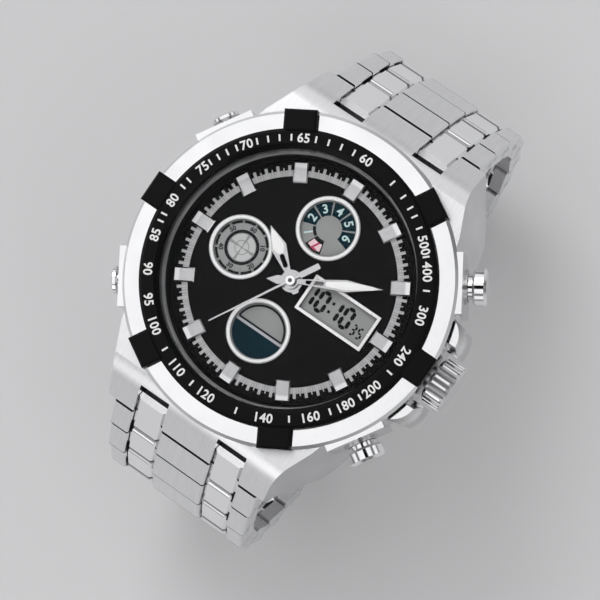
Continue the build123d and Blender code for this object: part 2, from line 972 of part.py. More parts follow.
def module_plate():
    """Plate that carries the displays above and the wheel train in its pocket."""
    with BuildPart() as piece:
        with BuildSketch(Plane.XY.offset(plate_bottom_z)):
            Circle(plate_radius)
        extrude(amount=plate_thickness)
        with BuildSketch(Plane.XY.offset(plate_bottom_z)):
            Circle(train_cavity_radius)
        extrude(amount=plate_thickness - plate_skin, mode=Mode.SUBTRACT)
        with BuildSketch(Plane.XY.offset(plate_bottom_z)):
            Circle(hour_pipe_radius + slide_fit)
            with Locations(third_place):
                Circle(arbor_radius + slide_fit / 2)
        extrude(amount=plate_thickness, mode=Mode.SUBTRACT)
        with BuildSketch(Plane.XY.offset(plate_bottom_z)):
            with Locations((plate_radius, 0)):
                Rectangle(2 * (plate_radius - stem_inner_x + mesh_gap), 2 * (stem_radius + slide_fit))
            with Locations(*works_screw_places()):
                Circle(works_screw_radius + press_fit)
        extrude(amount=case_hub_z + stem_radius + slide_fit - plate_bottom_z, mode=Mode.SUBTRACT)
    return piece.part


def circuit_board():
    """Round board with the lower bearings of the train."""
    with BuildPart() as piece:
        with BuildSketch(Plane.XY.offset(board_bottom_z)):
            Circle(board_radius)
            with Locations((0, 0), third_place, rotor_place):
                Circle(arbor_radius + slide_fit / 2, mode=Mode.SUBTRACT)
            with Locations(*works_screw_places()):
                Circle(works_screw_radius + slide_fit, mode=Mode.SUBTRACT)
        extrude(amount=board_thickness)
    return piece.part


def works_screws():
    """Three screws from below through the board into the plate."""
    with BuildPart() as piece:
        with BuildSketch(Plane.XY.offset(board_bottom_z - works_screw_head)):
            with Locations(*works_screw_places()):
                Circle(works_screw_head_radius)
        extrude(amount=works_screw_head)
        with BuildSketch(Plane.XY.offset(board_bottom_z)):
            with Locations(*works_screw_places()):
                Circle(works_screw_radius)
        extrude(amount=works_screw_length - press_fit)
    return piece.part


def module_holder_ring():
    """Plastic ring that centres the works, open at the stem and the pushers."""
    slot_mid = (holder_inner + holder_outer) / 2
    slot_top_z = case_hub_z + clip_height / 2 + slide_fit
    with BuildPart() as piece:
        with BuildSketch(Plane.XY.offset(back_thickness + 2 * mesh_gap)):
            Circle(holder_outer)
            Circle(holder_inner, mode=Mode.SUBTRACT)
        extrude(amount=dial_seat_z - back_thickness - 3 * mesh_gap)
        with BuildSketch(Plane.XY.offset(back_thickness)):
            for angle in (0, *pusher_angles()):
                with Locations(Location(polar(slot_mid, angle), angle)):
                    Rectangle(2 * (holder_outer - holder_inner), holder_slot_width)
        extrude(amount=slot_top_z - back_thickness, mode=Mode.SUBTRACT)
    return piece.part


def stator():
    """Motor plate round the rotor, with two legs to the coil."""
    rx, ry = rotor_place
    leg_x = (stator_length - stator_leg) / 2
    with BuildPart() as piece:
        with BuildSketch(Plane.XY.offset(stator_z)):
            with Locations(rotor_place):
                Rectangle(stator_length, stator_width)
                Circle(rotor_radius + stator_hole_gap, mode=Mode.SUBTRACT)
            with Locations((rx - leg_x, ry + stator_reach / 2), (rx + leg_x, ry + stator_reach / 2)):
                Rectangle(stator_leg, stator_reach + stator_leg)
        extrude(amount=stator_thickness)
    return piece.part


def coil():
    """Wound coil on its core, between the legs of the motor plate."""
    rx, ry = rotor_place
    core_z = stator_z - coil_core_thickness
    coil_length = stator_length - 3 * stator_leg
    with BuildPart() as piece:
        with BuildSketch(Plane.XY.offset(core_z - press_fit)):
            with Locations((rx, ry + stator_reach)):
                Rectangle(stator_length, coil_core_width)
        extrude(amount=coil_core_thickness)
        with BuildSketch(Plane.YZ.offset(rx - coil_length / 2)):
            with Locations((ry + stator_reach, core_z + coil_core_thickness / 2)):
                Circle(coil_radius)
        extrude(amount=coil_length)
    return piece.part


battery_z = board_bottom_z - 2 * mesh_gap - battery_thickness


def battery():
    """Button cell."""
    with BuildPart() as piece:
        with BuildSketch(Plane.XY.offset(battery_z)):
            with Locations(polar(battery_place, battery_angle)):
                Circle(battery_radius)
        extrude(amount=battery_thickness)
        chamfer(piece.edges().group_by(Axis.Z)[0], battery_edge)
    return piece.part


def battery_clamp():
    """Spring strap under the cell, with a foot on each side that reaches the board."""
    strap_z = battery_z - clamp_thickness - press_fit
    reach = 2 * (battery_radius + seat_gap + clamp_thickness)
    foot = battery_radius + seat_gap + clamp_thickness / 2
    x, y = polar(battery_place, battery_angle)
    with BuildPart() as piece:
        with BuildSketch(Plane.XY.offset(strap_z)):
            with Locations(polar(battery_place, battery_angle)):
                Rectangle(reach, clamp_width)
        extrude(amount=clamp_thickness)
        with BuildSketch(Plane.XY.offset(strap_z)):
            with Locations((x - foot, y), (x + foot, y)):
                Rectangle(clamp_thickness, clamp_width)
        extrude(amount=board_bottom_z - strap_z)
    return piece.part


def buzzer_disc():
    """Thin sounder disc on the inside of the back."""
    with BuildPart() as piece:
        with BuildSketch(Plane.XY.offset(back_thickness)):
            with Locations(polar(buzzer_place, buzzer_angle)):
                Circle(buzzer_radius)
        extrude(amount=buzzer_thickness)
    return piece.part


# Case back

def case_back():
    """Flat screwed back with a bevelled rim."""
    with BuildPart() as piece:
        with BuildSketch(Plane.XY):
            Circle(back_radius)
        extrude(amount=back_thickness)
        chamfer(piece.edges().group_by(Axis.Z)[0], back_edge)
        with BuildSketch(Plane.XY):
            with PolarLocations(back_screw_circle, back_screw_count):
                Circle(back_screw_head_radius + slide_fit)
        extrude(amount=back_screw_head + press_fit, mode=Mode.SUBTRACT)
        with BuildSketch(Plane.XY):
            with PolarLocations(back_screw_circle, back_screw_count):
                Circle(back_screw_radius + slide_fit)
        extrude(amount=back_thickness, mode=Mode.SUBTRACT)
    return piece.part


def case_back_screws():
    """Eight small slotted screws, sunk in the back."""
    head_z = press_fit
    with BuildPart() as piece:
        with BuildSketch(Plane.XY.offset(head_z)):
            with PolarLocations(back_screw_circle, back_screw_count):
                Circle(back_screw_head_radius)
        extrude(amount=back_screw_head - press_fit)
        with BuildSketch(Plane.XY.offset(head_z)):
            with PolarLocations(back_screw_circle, back_screw_count):
                Rectangle(2 * back_screw_head_radius, back_screw_slot)
        extrude(amount=back_screw_head / 2, mode=Mode.SUBTRACT)
        with BuildSketch(Plane.XY.offset(back_screw_head)):
            with PolarLocations(back_screw_circle, back_screw_count):
                Circle(back_screw_radius)
        extrude(amount=back_screw_length - press_fit)
    return piece.part


# Crown

def crown():
    """Fluted crown with a bore for its stem and a cavity for its tube."""
    with BuildPart() as piece:
        with BuildSketch(radial_plane(0)):
            with BuildLine():
                Polyline(
                    (crown_inner_x + crown_cavity_depth, stem_radius + press_fit),
                    (crown_inner_x + crown_cavity_depth, crown_cavity_radius),
                    (crown_inner_x, crown_cavity_radius),
                    (crown_inner_x, crown_radius - crown_edge),
                    (crown_inner_x + crown_edge, crown_radius),
                    (crown_outer_x - crown_edge, crown_radius),
                    (crown_outer_x, crown_radius - crown_edge),
                    (crown_outer_x, 0),
                    (stem_outer_x + press_fit, 0),
                    (stem_outer_x + press_fit, stem_radius + press_fit),
                    close=True,
                )
            make_face()
        revolve(axis=radial_axis(0))
        with BuildSketch(Plane.YZ.offset(crown_inner_x)):
            with Locations((0, case_hub_z)):
                with PolarLocations(crown_radius, crown_flutes):
                    Circle(crown_flute_radius)
        extrude(amount=crown_outer_x - crown_inner_x, mode=Mode.SUBTRACT)
    return piece.part


def crown_stem():
    """Stem with the neck that its clip holds."""
    neck_end = stem_neck_x + stem_neck_length
    return turned(0, [
        (stem_inner_x, 0), (stem_inner_x, stem_radius), (stem_neck_x, stem_radius),
        (stem_neck_x, stem_neck_radius), (neck_end, stem_neck_radius),
        (neck_end, stem_radius), (stem_outer_x, stem_radius), (stem_outer_x, 0),
    ])


def stem_clip():
    """Clip on the stem's neck, which slides with it and doesn't turn."""
    clip_x = stem_neck_x + (stem_neck_length - clip_thickness) / 2
    with BuildPart() as piece:
        with BuildSketch(Plane.YZ.offset(clip_x)):
            with Locations((0, case_hub_z)):
                Rectangle(clip_width, clip_height)
                Circle(stem_neck_radius + slide_fit / 2, mode=Mode.SUBTRACT)
        extrude(amount=clip_thickness)
    return piece.part


def crown_tube():
    """Tube that guides the stem, pressed into the case."""
    inner = crown_tube_radius - crown_tube_wall
    return turned(0, [
        (crown_tube_inner_x, inner), (crown_tube_inner_x, crown_tube_radius),
        (crown_tube_outer_x, crown_tube_radius), (crown_tube_outer_x, inner),
    ])


# Pushers

def pusher_sizes(angle):
    """Sizes of one pusher: the right pair is larger than the left pair."""
    right = abs(angle) < 90
    neck = right_neck_radius if right else left_neck_radius
    cap_length = right_cap_length if right else left_cap_length
    return {
        "collar_in": collar_end_radius - collar_depth - collar_floor,
        "floor": collar_end_radius - collar_depth,
        "neck": neck,
        "collar": neck + slide_fit + collar_wall,
        "cap": right_cap_radius if right else left_cap_radius,
        "cap_in": collar_end_radius + pusher_gap,
        "cap_length": cap_length,
        "end": collar_end_radius + pusher_gap + cap_length,
    }


def pusher_tube(angle):
    """Guide tube with the collar that a pusher sinks into."""
    sizes = pusher_sizes(angle)
    bore = pusher_stem_radius + slide_fit
    pocket = sizes["neck"] + slide_fit
    return turned(angle, [
        (crown_tube_inner_x, bore), (crown_tube_inner_x, pusher_tube_radius),
        (sizes["collar_in"], pusher_tube_radius), (sizes["collar_in"], sizes["collar"]),
        (collar_end_radius, sizes["collar"]), (collar_end_radius, pocket),
        (sizes["floor"], pocket), (sizes["floor"], bore),
    ])


def pusher_tubes():
    """The four guide tubes."""
    return Compound(children=[pusher_tube(angle) for angle in pusher_angles()])


def pusher(angle):
    """Cap, hollow neck and stem, with the spring drawn at its pressed length."""
    sizes = pusher_sizes(angle)
    edge = sizes["cap"] * pusher_edge_share
    neck_in = collar_end_radius + seat_gap
    cap_in = sizes["cap_in"]
    spring_outer = sizes["neck"] - pusher_spring_wall
    cavity_end = cap_in + sizes["cap_length"] / 3
    body = turned(angle, [
        (stem_end_radius, 0), (stem_end_radius, pusher_stem_radius),
        (cavity_end, pusher_stem_radius), (cavity_end, spring_outer),
        (neck_in, spring_outer), (neck_in, sizes["neck"]), (cap_in, sizes["neck"]),
        (cap_in, sizes["cap"] - edge), (cap_in + edge, sizes["cap"]),
        (sizes["end"] - edge, sizes["cap"]), (sizes["end"], sizes["cap"] - edge),
        (sizes["end"], 0),
    ])
    spring = turned(angle, [
        (neck_in + slide_fit, pusher_stem_radius + slide_fit / 2),
        (neck_in + slide_fit, spring_outer - slide_fit / 2),
        (cavity_end - press_fit, spring_outer - slide_fit / 2),
        (cavity_end - press_fit, pusher_stem_radius + slide_fit / 2),
    ])
    return Compound(children=[body, spring])


# Bracelet

def row_edges(number):
    """Half width of link 1, 2 and on: the outer rows narrow towards the clasp."""
    return first_link_half - link_taper * (number - 1)


def row(side, number, inner, outer, outline, edge):
    """One block of a link between two distances from the middle, with softened top edges."""
    frame = link_plane(side, number)
    middle, width = (inner + outer) / 2, outer - inner
    with BuildPart() as piece:
        with BuildSketch(frame.offset(side * middle)):
            with BuildLine():
                outline(number)
            make_face()
        extrude(amount=width / 2, both=True)
        with BuildSketch(frame.offset(side * middle)):
            for along, radius in pin_places(number):
                with Locations((along, 0)):
                    Circle(radius)
        extrude(amount=width, both=True, mode=Mode.SUBTRACT)
        along_edges = piece.edges().filter_by(GeomType.LINE).filter_by(
            lambda e: abs(e.tangent_at(0).dot(frame.x_dir)) > straight_share
        )
        chamfer(along_edges.sort_by(lambda e: frame.to_local_coords(e.center()).Y)[-2:], edge)
    return piece.part


def pin_places(number):
    """Pin holes of a link, as (distance along it, radius)."""
    first = spring_bar_radius if number == 1 else hinge_pin_radius
    return (
        (0, first + slide_fit),
        (joint_pin_along, joint_pin_radius + press_fit),
        (pitch, hinge_pin_radius + press_fit),
    )


def block_start(number):
    """Distance from a link's first hinge to the head of its brushed blocks."""
    return hinge_setback - seam / 2 + (head_seam if number == 1 else seam)


def block_outline(number):
    """Side view of a centre or outer block."""
    start = block_start(number)
    end = pitch + hinge_setback - seam / 2
    Polyline(
        (start, half_link),
        (end, half_link),
        (end, -half_link),
        (start + under_relief, -half_link),
        (start, under_relief_level),
        close=True,
    )


def short_block_outline(number):
    """Side view of the centre block that leaves room for the clasp's barrel."""
    start = block_start(number)
    end = pitch - end_centre_setback
    Polyline(
        (start, half_link),
        (end, half_link),
        (end, -half_link),
        (start + under_relief, -half_link),
        (start, under_relief_level),
        close=True,
    )


def open_end_outline(number):
    """Side view of an outer block whose end is an open hook for the clasp's bar."""
    start = block_start(number)
    slot = end_bar_radius + end_bar_gap
    end = pitch + slot + hook_lip
    Line((start, half_link), (end, half_link))
    Line((end, half_link), (end, -half_link))
    Line((end, -half_link), (pitch + slot, -half_link))
    Line((pitch + slot, -half_link), (pitch + slot, 0))
    ThreePointArc((pitch + slot, 0), (pitch, slot), (pitch - slot, 0))
    Polyline(
        (pitch - slot, 0),
        (pitch - slot, -half_link),
        (start + under_relief, -half_link),
        (start, under_relief_level),
        (start, half_link),
    )


def ear_outline(number):
    """Side view of a polished block: the first reaches into the hood, the others are round."""
    end = pitch - half_ear - ear_end_gap
    if number == 1:
        Polyline(
            (-nose_back, half_ear),
            (end, half_ear),
            (end, -half_ear),
            (-nose_under, -half_ear),
            (-nose_back, nose_level),
            close=True,
        )
    else:
        Polyline((0, half_ear), (end, half_ear), (end, -half_ear), (0, -half_ear))
        ThreePointArc((0, -half_ear), (-half_ear, 0), (0, half_ear))


def link(side, number):
    """One link: three brushed blocks, two polished blocks and its pins."""
    last_open = side < 0 and number == len(link_slopes)
    half = row_edges(number)
    ear_in, ear_out = centre_half + row_gap, ear_outer - row_gap
    block_in, block_out = ear_outer, half
    centre = row(side, number, -centre_half, centre_half,
                 short_block_outline if last_open else block_outline, link_edge)
    ears = [row(side, number, *span, ear_outline, ear_edge)
            for span in ((ear_in, ear_out), (-ear_out, -ear_in))]
    outers = [row(side, number, *span, open_end_outline if last_open else block_outline, link_edge)
              for span in ((block_in, block_out), (-block_out, -block_in))]
    y, z = hinge_line[number - 1]
    slope = radians(link_slopes[number - 1])
    joint_y = side * (y + joint_pin_along * cos(slope))
    joint_z = z - joint_pin_along * sin(slope)
    end_y, end_z = hinge_line[number]
    pins = [cross_bar(joint_y, joint_z, joint_pin_radius, half - pin_recess)]
    if not last_open:
        pins.append(cross_bar(side * end_y, end_z, hinge_pin_radius, half - pin_recess))
    return Compound(children=[centre, *ears, *outers, *pins])


def lug_spring_bars():
    """Bars that hold the first links between the lugs."""
    half = lug_row_half - spring_bar_skin - slide_fit
    bars = [cross_bar(side * first_pivot_y, first_pivot_z, spring_bar_radius, half) for side in (1, -1)]
    return Compound(children=bars)


# Clasp

def clasp_cover():
    """Outer plate of the folding clasp, with its side walls and hinge ears."""
    plate_top = clasp_z - cover_drop
    right = clasp_y - cover_end_setback
    left = long_hinge_y - knuckle_radius
    length = right - left
    wall_top = clasp_z - cover_wall_drop
    with BuildPart() as piece:
        with BuildSketch(Plane.XY.offset(plate_top - cover_thickness)):
            with Locations((0, (left + right) / 2)):
                RectangleRounded(2 * cover_half_width, length, cover_corner)
        extrude(amount=cover_thickness)
        with BuildSketch(Plane.YZ):
            with BuildLine():
                Polyline(
                    (left + cover_corner, plate_top),
                    (left + 2 * cover_corner, wall_top),
                    (right - 3 * cover_corner, wall_top),
                    (right - cover_corner, plate_top),
                    close=True,
                )
            make_face()
        extrude(amount=cover_half_width, both=True)
        with BuildSketch(Plane.YZ):
            with Locations(((left + right) / 2, plate_top + cover_drop / 2)):
                Rectangle(length, cover_drop)
        extrude(amount=cover_half_width - cover_wall, both=True, mode=Mode.SUBTRACT)
        for side in (1, -1):
            with BuildSketch(Plane.YZ.offset(side * (centre_half + ear_outer) / 2)):
                with BuildLine():
                    Polyline(
                        (clasp_y - half_ear * cover_ear_lean, clasp_z + half_ear / 2),
                        (clasp_y - cover_ear_reach, plate_top),
                        (clasp_y - cover_ear_reach, plate_top - cover_thickness / 2),
                        (right, plate_top - cover_thickness / 2),
                        (clasp_y + half_ear * cover_ear_lean, clasp_z - half_ear / 2),
                        close=True,
                    )
                make_face()
                with Locations((clasp_y, clasp_z)):
                    Circle(half_ear)
            extrude(amount=(ear_outer - centre_half) / 2 - row_gap, both=True)
            with BuildSketch(Plane.YZ.offset(side * (long_blade_half + slide_fit))):
                with Locations((long_hinge_y, long_hinge_z)):
                    Circle(knuckle_radius)
                with Locations((long_hinge_y, (long_hinge_z + plate_top - cover_thickness) / 2)):
                    Rectangle(2 * knuckle_radius, long_hinge_z - plate_top + cover_thickness)
            extrude(amount=side * (cover_half_width - cover_wall - long_blade_half))
        with BuildSketch(Plane.YZ):
            with Locations((clasp_y, clasp_z)):
                Circle(hinge_pin_radius + slide_fit)
            with Locations((long_hinge_y, long_hinge_z)):
                Circle(blade_pin_radius + press_fit)
        extrude(amount=cover_half_width - cover_wall / 2, both=True, mode=Mode.SUBTRACT)
    pin = cross_bar(long_hinge_y, long_hinge_z, blade_pin_radius, cover_half_width - cover_wall)
    return Compound(children=[piece.part, pin])


def blade_window(middle_y, width):
    """Long opening that lightens a blade, for the plane that is open."""
    with Locations((0, middle_y)):
        SlotOverall(blade_slot_length, width, rotation=90)


def clasp_long_blade():
    """Blade between the cover and the short blade, with the pin at its far end."""
    with BuildPart() as piece:
        with BuildSketch(Plane.YZ):
            with Locations(((long_hinge_y + short_hinge_y) / 2, long_hinge_z)):
                Rectangle(short_hinge_y - long_hinge_y, blade_thickness)
            with Locations((long_hinge_y, long_hinge_z), (short_hinge_y, short_hinge_z)):
                Circle(knuckle_radius)
        extrude(amount=long_blade_half, both=True)
        with BuildSketch(Plane.YZ):
            with Locations((short_hinge_y, short_hinge_z)):
                Rectangle(knuckle_room * knuckle_radius, knuckle_room * knuckle_radius)
        extrude(amount=knuckle_split, both=True, mode=Mode.SUBTRACT)
        with BuildSketch(Plane.YZ):
            with Locations((long_hinge_y, long_hinge_z)):
                Circle(blade_pin_radius + slide_fit)
            with Locations((short_hinge_y, short_hinge_z)):
                Circle(blade_pin_radius + press_fit)
        extrude(amount=long_blade_half + overrun, both=True, mode=Mode.SUBTRACT)
        with BuildSketch(Plane.XY.offset(long_hinge_z - knuckle_radius)):
            blade_window((long_hinge_y + short_hinge_y) / 2, blade_slot_width)
        extrude(amount=2 * knuckle_radius, mode=Mode.SUBTRACT)
    pin = cross_bar(short_hinge_y, short_hinge_z, blade_pin_radius, long_blade_half - pin_recess)
    return Compound(children=[piece.part, pin])


def clasp_short_blade():
    """Inner blade, from the long blade to the bar in the 6 o'clock half's last link."""
    fold_z = 2 * short_hinge_z - long_hinge_z
    knuckle_half = knuckle_split - slide_fit
    with BuildPart() as piece:
        with BuildSketch(Plane.YZ):
            with BuildLine():
                Polyline(
                    (short_hinge_y, fold_z + blade_thickness / 2),
                    (-clasp_y, clasp_z + blade_thickness / 2),
                    (-clasp_y, clasp_z - blade_thickness / 2),
                    (short_hinge_y, fold_z - blade_thickness / 2),
                    close=True,
                )
            make_face()
        extrude(amount=short_blade_half, both=True)
        with BuildSketch(Plane.YZ):
            with Locations((short_hinge_y, short_hinge_z)):
                Rectangle(knuckle_room * knuckle_radius, knuckle_room * knuckle_radius)
        extrude(amount=short_blade_half, both=True, mode=Mode.SUBTRACT)
        with BuildSketch(Plane.YZ):
            with Locations((short_hinge_y, short_hinge_z)):
                Circle(knuckle_radius)
            with BuildLine():
                Polyline(
                    (short_hinge_y, fold_z + blade_thickness / 2),
                    (short_hinge_y - 2 * knuckle_radius, fold_z + blade_thickness / 2),
                    (short_hinge_y - 2 * knuckle_radius, fold_z - blade_thickness / 2),
                    (short_hinge_y, short_hinge_z),
                    close=True,
                )
            make_face()
        extrude(amount=knuckle_half, both=True)
        with BuildSketch(Plane.YZ):
            with Locations((-clasp_y, clasp_z)):
                Circle(end_barrel_radius)
        extrude(amount=ear_outer - row_gap - slide_fit, both=True)
        with BuildSketch(Plane.YZ):
            with Locations((short_hinge_y, short_hinge_z)):
                Circle(blade_pin_radius + slide_fit)
            with Locations((-clasp_y, clasp_z)):
                Circle(end_bar_radius + press_fit)
        extrude(amount=ear_outer + overrun, both=True, mode=Mode.SUBTRACT)
        with BuildSketch(Plane.XY.offset(clasp_z - knuckle_room * knuckle_radius)):
            blade_window((short_hinge_y - clasp_y) / 2, blade_slot_width)
        extrude(amount=2 * knuckle_room * knuckle_radius, mode=Mode.SUBTRACT)
    last_half = row_edges(len(link_slopes))
    bar = cross_bar(-clasp_y, clasp_z, end_bar_radius, last_half - pin_recess)
    return Compound(children=[piece.part, bar])


# Every piece, written to its own file

minute_pipe = (minute_pipe_radius, minute_pipe_wall, minute_hand_z + hand_thickness)
hour_pipe = (hour_pipe_radius, hour_pipe_wall, hour_hand_z + hand_thickness)
gasket_outer, gasket_inner = bezel_inner - press_fit, crystal_radius + press_fit

os.makedirs("parts", exist_ok=True)
save(case_middle(), "case_middle")
save(bezel_ring(), "bezel_ring")
save(crystal(), "crystal")
save(ring(gasket_outer, gasket_inner, crystal_seat_z, gasket_height), "crystal_gasket")
save(rehaut_ring(), "rehaut_ring")
save(dial(), "dial")
save(hour_markers(), "hour_markers")
save(subdial_rings(), "subdial_rings")
save(lcd_frame(), "lcd_frame")
save(time_display(), "time_display")
save(round_displays(), "round_displays")
save(hour_hand(), "hour_hand")
save(minute_hand(), "minute_hand")
save(seconds_hand(), "seconds_hand")
save(seconds_wheel(), "seconds_wheel")
save(pipe_wheel(centre_wheel_z, centre_wheel_radius, *minute_pipe), "centre_wheel")
save(pipe_wheel(hour_wheel_z, hour_wheel_radius, *hour_pipe), "hour_wheel")
save(third_wheel(), "third_wheel")
save(rotor(), "rotor")
save(module_plate(), "module_plate")
save(circuit_board(), "circuit_board")
save(works_screws(), "works_screws")
save(module_holder_ring(), "module_holder_ring")
save(stator(), "stator")
save(coil(), "coil")
save(battery(), "battery")
save(battery_clamp(), "battery_clamp")
save(buzzer_disc(), "buzzer_disc")
save(case_back(), "case_back")
save(
    ring(back_gasket_outer, back_gasket_inner, back_thickness, back_gasket_height),
    "case_back_gasket",
)
save(case_back_screws(), "case_back_screws")
save(crown(), "crown")
save(crown_stem(), "crown_stem")
save(stem_clip(), "stem_clip")
save(crown_tube(), "crown_tube")
save(pusher_tubes(), "pusher_tubes")
for hour, angle in zip((2, 4, 8, 10), pusher_angles()):
    save(pusher(angle), f"pusher_{hour}")
save(lug_spring_bars(), "lug_spring_bars")
for number in range(1, len(link_slopes) + 1):
    save(link(1, number), f"link_12_{number}")
    save(link(-1, number), f"link_6_{number}")
save(clasp_cover(), "clasp_cover")
save(clasp_long_blade(), "clasp_long_blade")
save(clasp_short_blade(), "clasp_short_blade")
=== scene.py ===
import json
from math import atan2, cos, degrees, pi, radians, sin

import bmesh
import bpy
from mathutils import Matrix, Vector


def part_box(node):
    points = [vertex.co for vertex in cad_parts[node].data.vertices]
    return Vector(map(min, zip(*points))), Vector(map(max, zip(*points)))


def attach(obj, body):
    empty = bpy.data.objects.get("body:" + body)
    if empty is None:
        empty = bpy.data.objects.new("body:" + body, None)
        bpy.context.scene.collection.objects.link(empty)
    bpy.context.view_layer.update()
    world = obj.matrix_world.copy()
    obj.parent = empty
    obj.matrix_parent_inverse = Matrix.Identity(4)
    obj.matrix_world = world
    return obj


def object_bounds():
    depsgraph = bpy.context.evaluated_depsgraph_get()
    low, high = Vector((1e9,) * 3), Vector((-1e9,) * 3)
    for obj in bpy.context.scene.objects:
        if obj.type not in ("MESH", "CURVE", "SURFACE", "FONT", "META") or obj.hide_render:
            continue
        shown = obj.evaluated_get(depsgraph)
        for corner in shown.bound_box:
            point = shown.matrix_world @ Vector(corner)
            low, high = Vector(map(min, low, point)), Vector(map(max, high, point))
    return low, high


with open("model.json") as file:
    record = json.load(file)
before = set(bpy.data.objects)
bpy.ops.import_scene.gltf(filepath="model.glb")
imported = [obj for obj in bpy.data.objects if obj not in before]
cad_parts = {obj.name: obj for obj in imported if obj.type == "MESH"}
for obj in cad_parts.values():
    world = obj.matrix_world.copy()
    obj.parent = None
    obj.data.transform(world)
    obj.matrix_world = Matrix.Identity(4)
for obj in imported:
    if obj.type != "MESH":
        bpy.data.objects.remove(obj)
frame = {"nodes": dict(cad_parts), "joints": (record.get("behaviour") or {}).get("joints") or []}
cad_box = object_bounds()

MM = 0.001

# Places that the printed and inlaid pieces share with the watch, in millimetres and clock degrees
bezel_top = 13.6
dial_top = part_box("dial")[1].z / MM
panel_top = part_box("time_display")[1].z / MM
lcd_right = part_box("lcd_frame")[1].x / MM
subdial_12 = (0.0, 9.0)
subdial_9 = (-8.85, 0.0)
subdial_6 = (0.0, -8.4)
hour_angle = 305
minute_angle = 62


# Shader values and materials

class Socket:
    """An output of a node, with the usual operators for numbers."""

    def __init__(self, mixture, socket):
        self.mixture = mixture
        self.socket = socket

    def __add__(self, other):
        return self.mixture.maths("ADD", self, other)

    def __sub__(self, other):
        return self.mixture.maths("SUBTRACT", self, other)

    def __rsub__(self, other):
        return self.mixture.maths("SUBTRACT", other, self)

    def __mul__(self, other):
        return self.mixture.maths("MULTIPLY", self, other)

    def __pow__(self, other):
        return self.mixture.maths("POWER", self, other)

    def __abs__(self):
        return self.mixture.maths("ABSOLUTE", self)

    __radd__ = __add__
    __rmul__ = __mul__


class Mixture:
    """The nodes of a material or of the world while they are put together."""

    def __init__(self, tree):
        self.nodes = tree.nodes
        self.links = tree.links

    def feed(self, socket, value):
        """Links a socket to a value, or sets it if the value is plain."""
        if isinstance(value, Socket):
            self.links.new(value.socket, socket)
        elif isinstance(value, tuple) and len(value) == 3 and socket.type == "RGBA":
            socket.default_value = (*value, 1.0)
        else:
            socket.default_value = value

    def node(self, kind, settings=None, inputs=None, out=0):
        """Makes a node and gives one of its outputs."""
        made = self.nodes.new(kind)
        for name, setting in (settings or {}).items():
            if name == "stops":
                elements = made.color_ramp.elements
                while len(elements) < len(setting):
                    elements.new(1.0)
                for element, (spot, colour) in zip(elements, setting):
                    element.position = spot
                    element.color = (*colour, 1.0)
            else:
                setattr(made, name, setting)
        for name, value in (inputs or {}).items():
            self.feed(made.inputs[name], value)
        return Socket(self, made.outputs[out])

    def maths(self, operation, *values):
        """A sum or another function of numbers."""
        return self.node("ShaderNodeMath", {"operation": operation}, dict(enumerate(values)))

    def axes(self, vector):
        """The three parts of a vector."""
        split = self.node("ShaderNodeSeparateXYZ", None, {"Vector": vector})
        return [Socket(self, split.socket.node.outputs[n]) for n in range(3)]


class Paint(Mixture):
    """A material while it is being mixed. Its patterns are measured in millimetres."""

    def __init__(self, name, **constants):
        self.material = bpy.data.materials.new(name)
        self.material.use_nodes = True
        super().__init__(self.material.node_tree)
        self.shader = self.nodes["Principled BSDF"]
        self.set(**constants)

    def set(self, **values):
        """Feeds the shader's own sockets, which are named with _ for a space."""
        for socket, value in values.items():
            self.feed(self.shader.inputs[socket.replace("_", " ")], value)
        return self

    def place(self, centre=(0, 0, 0), turn=(0, 0, 0)):
        """Object coordinates, counted from a centre and turned in degrees."""
        where = self.node("ShaderNodeTexCoord", out="Object")
        big = self.node("ShaderNodeVectorMath", {"operation": "SCALE"},
                        {"Vector": where, "Scale": 1 / MM})
        moved = tuple(-c for c in centre)
        shifted = self.node("ShaderNodeVectorMath", {"operation": "ADD"}, {0: big, 1: moved})
        return self.node("ShaderNodeMapping", {"vector_type": "TEXTURE"},
                         {"Vector": shifted, "Rotation": tuple(radians(a) for a in turn)})

    def facing(self):
        """The three shares of the direction that the surface faces."""
        return self.axes(self.node("ShaderNodeTexCoord", out="Normal"))

    def vector(self, x, y, z):
        """A vector from its three parts."""
        return self.node("ShaderNodeCombineXYZ", None, {0: x, 1: y, 2: z})

    def stretch(self, vector, by):
        """Multiplies the parts of a vector, which makes a pattern finer along them."""
        return self.node("ShaderNodeVectorMath", {"operation": "MULTIPLY"}, {0: vector, 1: by})

    def noise(self, vector, scale, detail, rough=0.5):
        """A cloudy pattern between 0 and 1."""
        return self.node("ShaderNodeTexNoise", None,
                         {"Vector": vector, "Scale": scale, "Detail": detail, "Roughness": rough})

    def lines(self, vector, rough=0.65):
        """Fine lines, close together along the axis in which the vector runs fast."""
        return self.noise(vector, 1.0, 4.0, rough)

    def cells(self, vector, scale, feature="F1"):
        """Distance from the middle or the edge of cells that lie at random."""
        return self.node("ShaderNodeTexVoronoi", {"feature": feature},
                         {"Vector": vector, "Scale": scale}, "Distance")

    def fade(self, value, low, high):
        """0 at low and 1 at high, which may be the smaller one."""
        return self.node("ShaderNodeMapRange", {"interpolation_type": "SMOOTHSTEP"},
                         {"Value": value, "From Min": low, "From Max": high})

    def mix(self, factor, first, second):
        """One colour at a factor of 0 and another at 1."""
        return self.node("ShaderNodeMix", {"data_type": "RGBA"},
                         {"Factor": factor, "A": first, "B": second}, out="Result")

    def tone(self, factor, tint, share):
        """A tint that is darkened to a share of itself where the factor is 0."""
        return self.mix(factor, tuple(c * share for c in tint), tint)

    def bump(self, height, depth):
        """Bump from a height of 0 to 1 and its full depth."""
        return self.node("ShaderNodeBump", None,
                         {"Height": height, "Distance": depth * MM, "Strength": 1.0}, "Normal")

    def reach(self, x, y):
        """Distance from the Z axis."""
        return self.maths("SQRT", x * x + y * y)

    def turning(self, vector):
        """Distance from the Z axis, turn about it and height along it."""
        x, y, z = self.axes(vector)
        return self.reach(x, y), self.maths("ARCTAN2", y, x), z


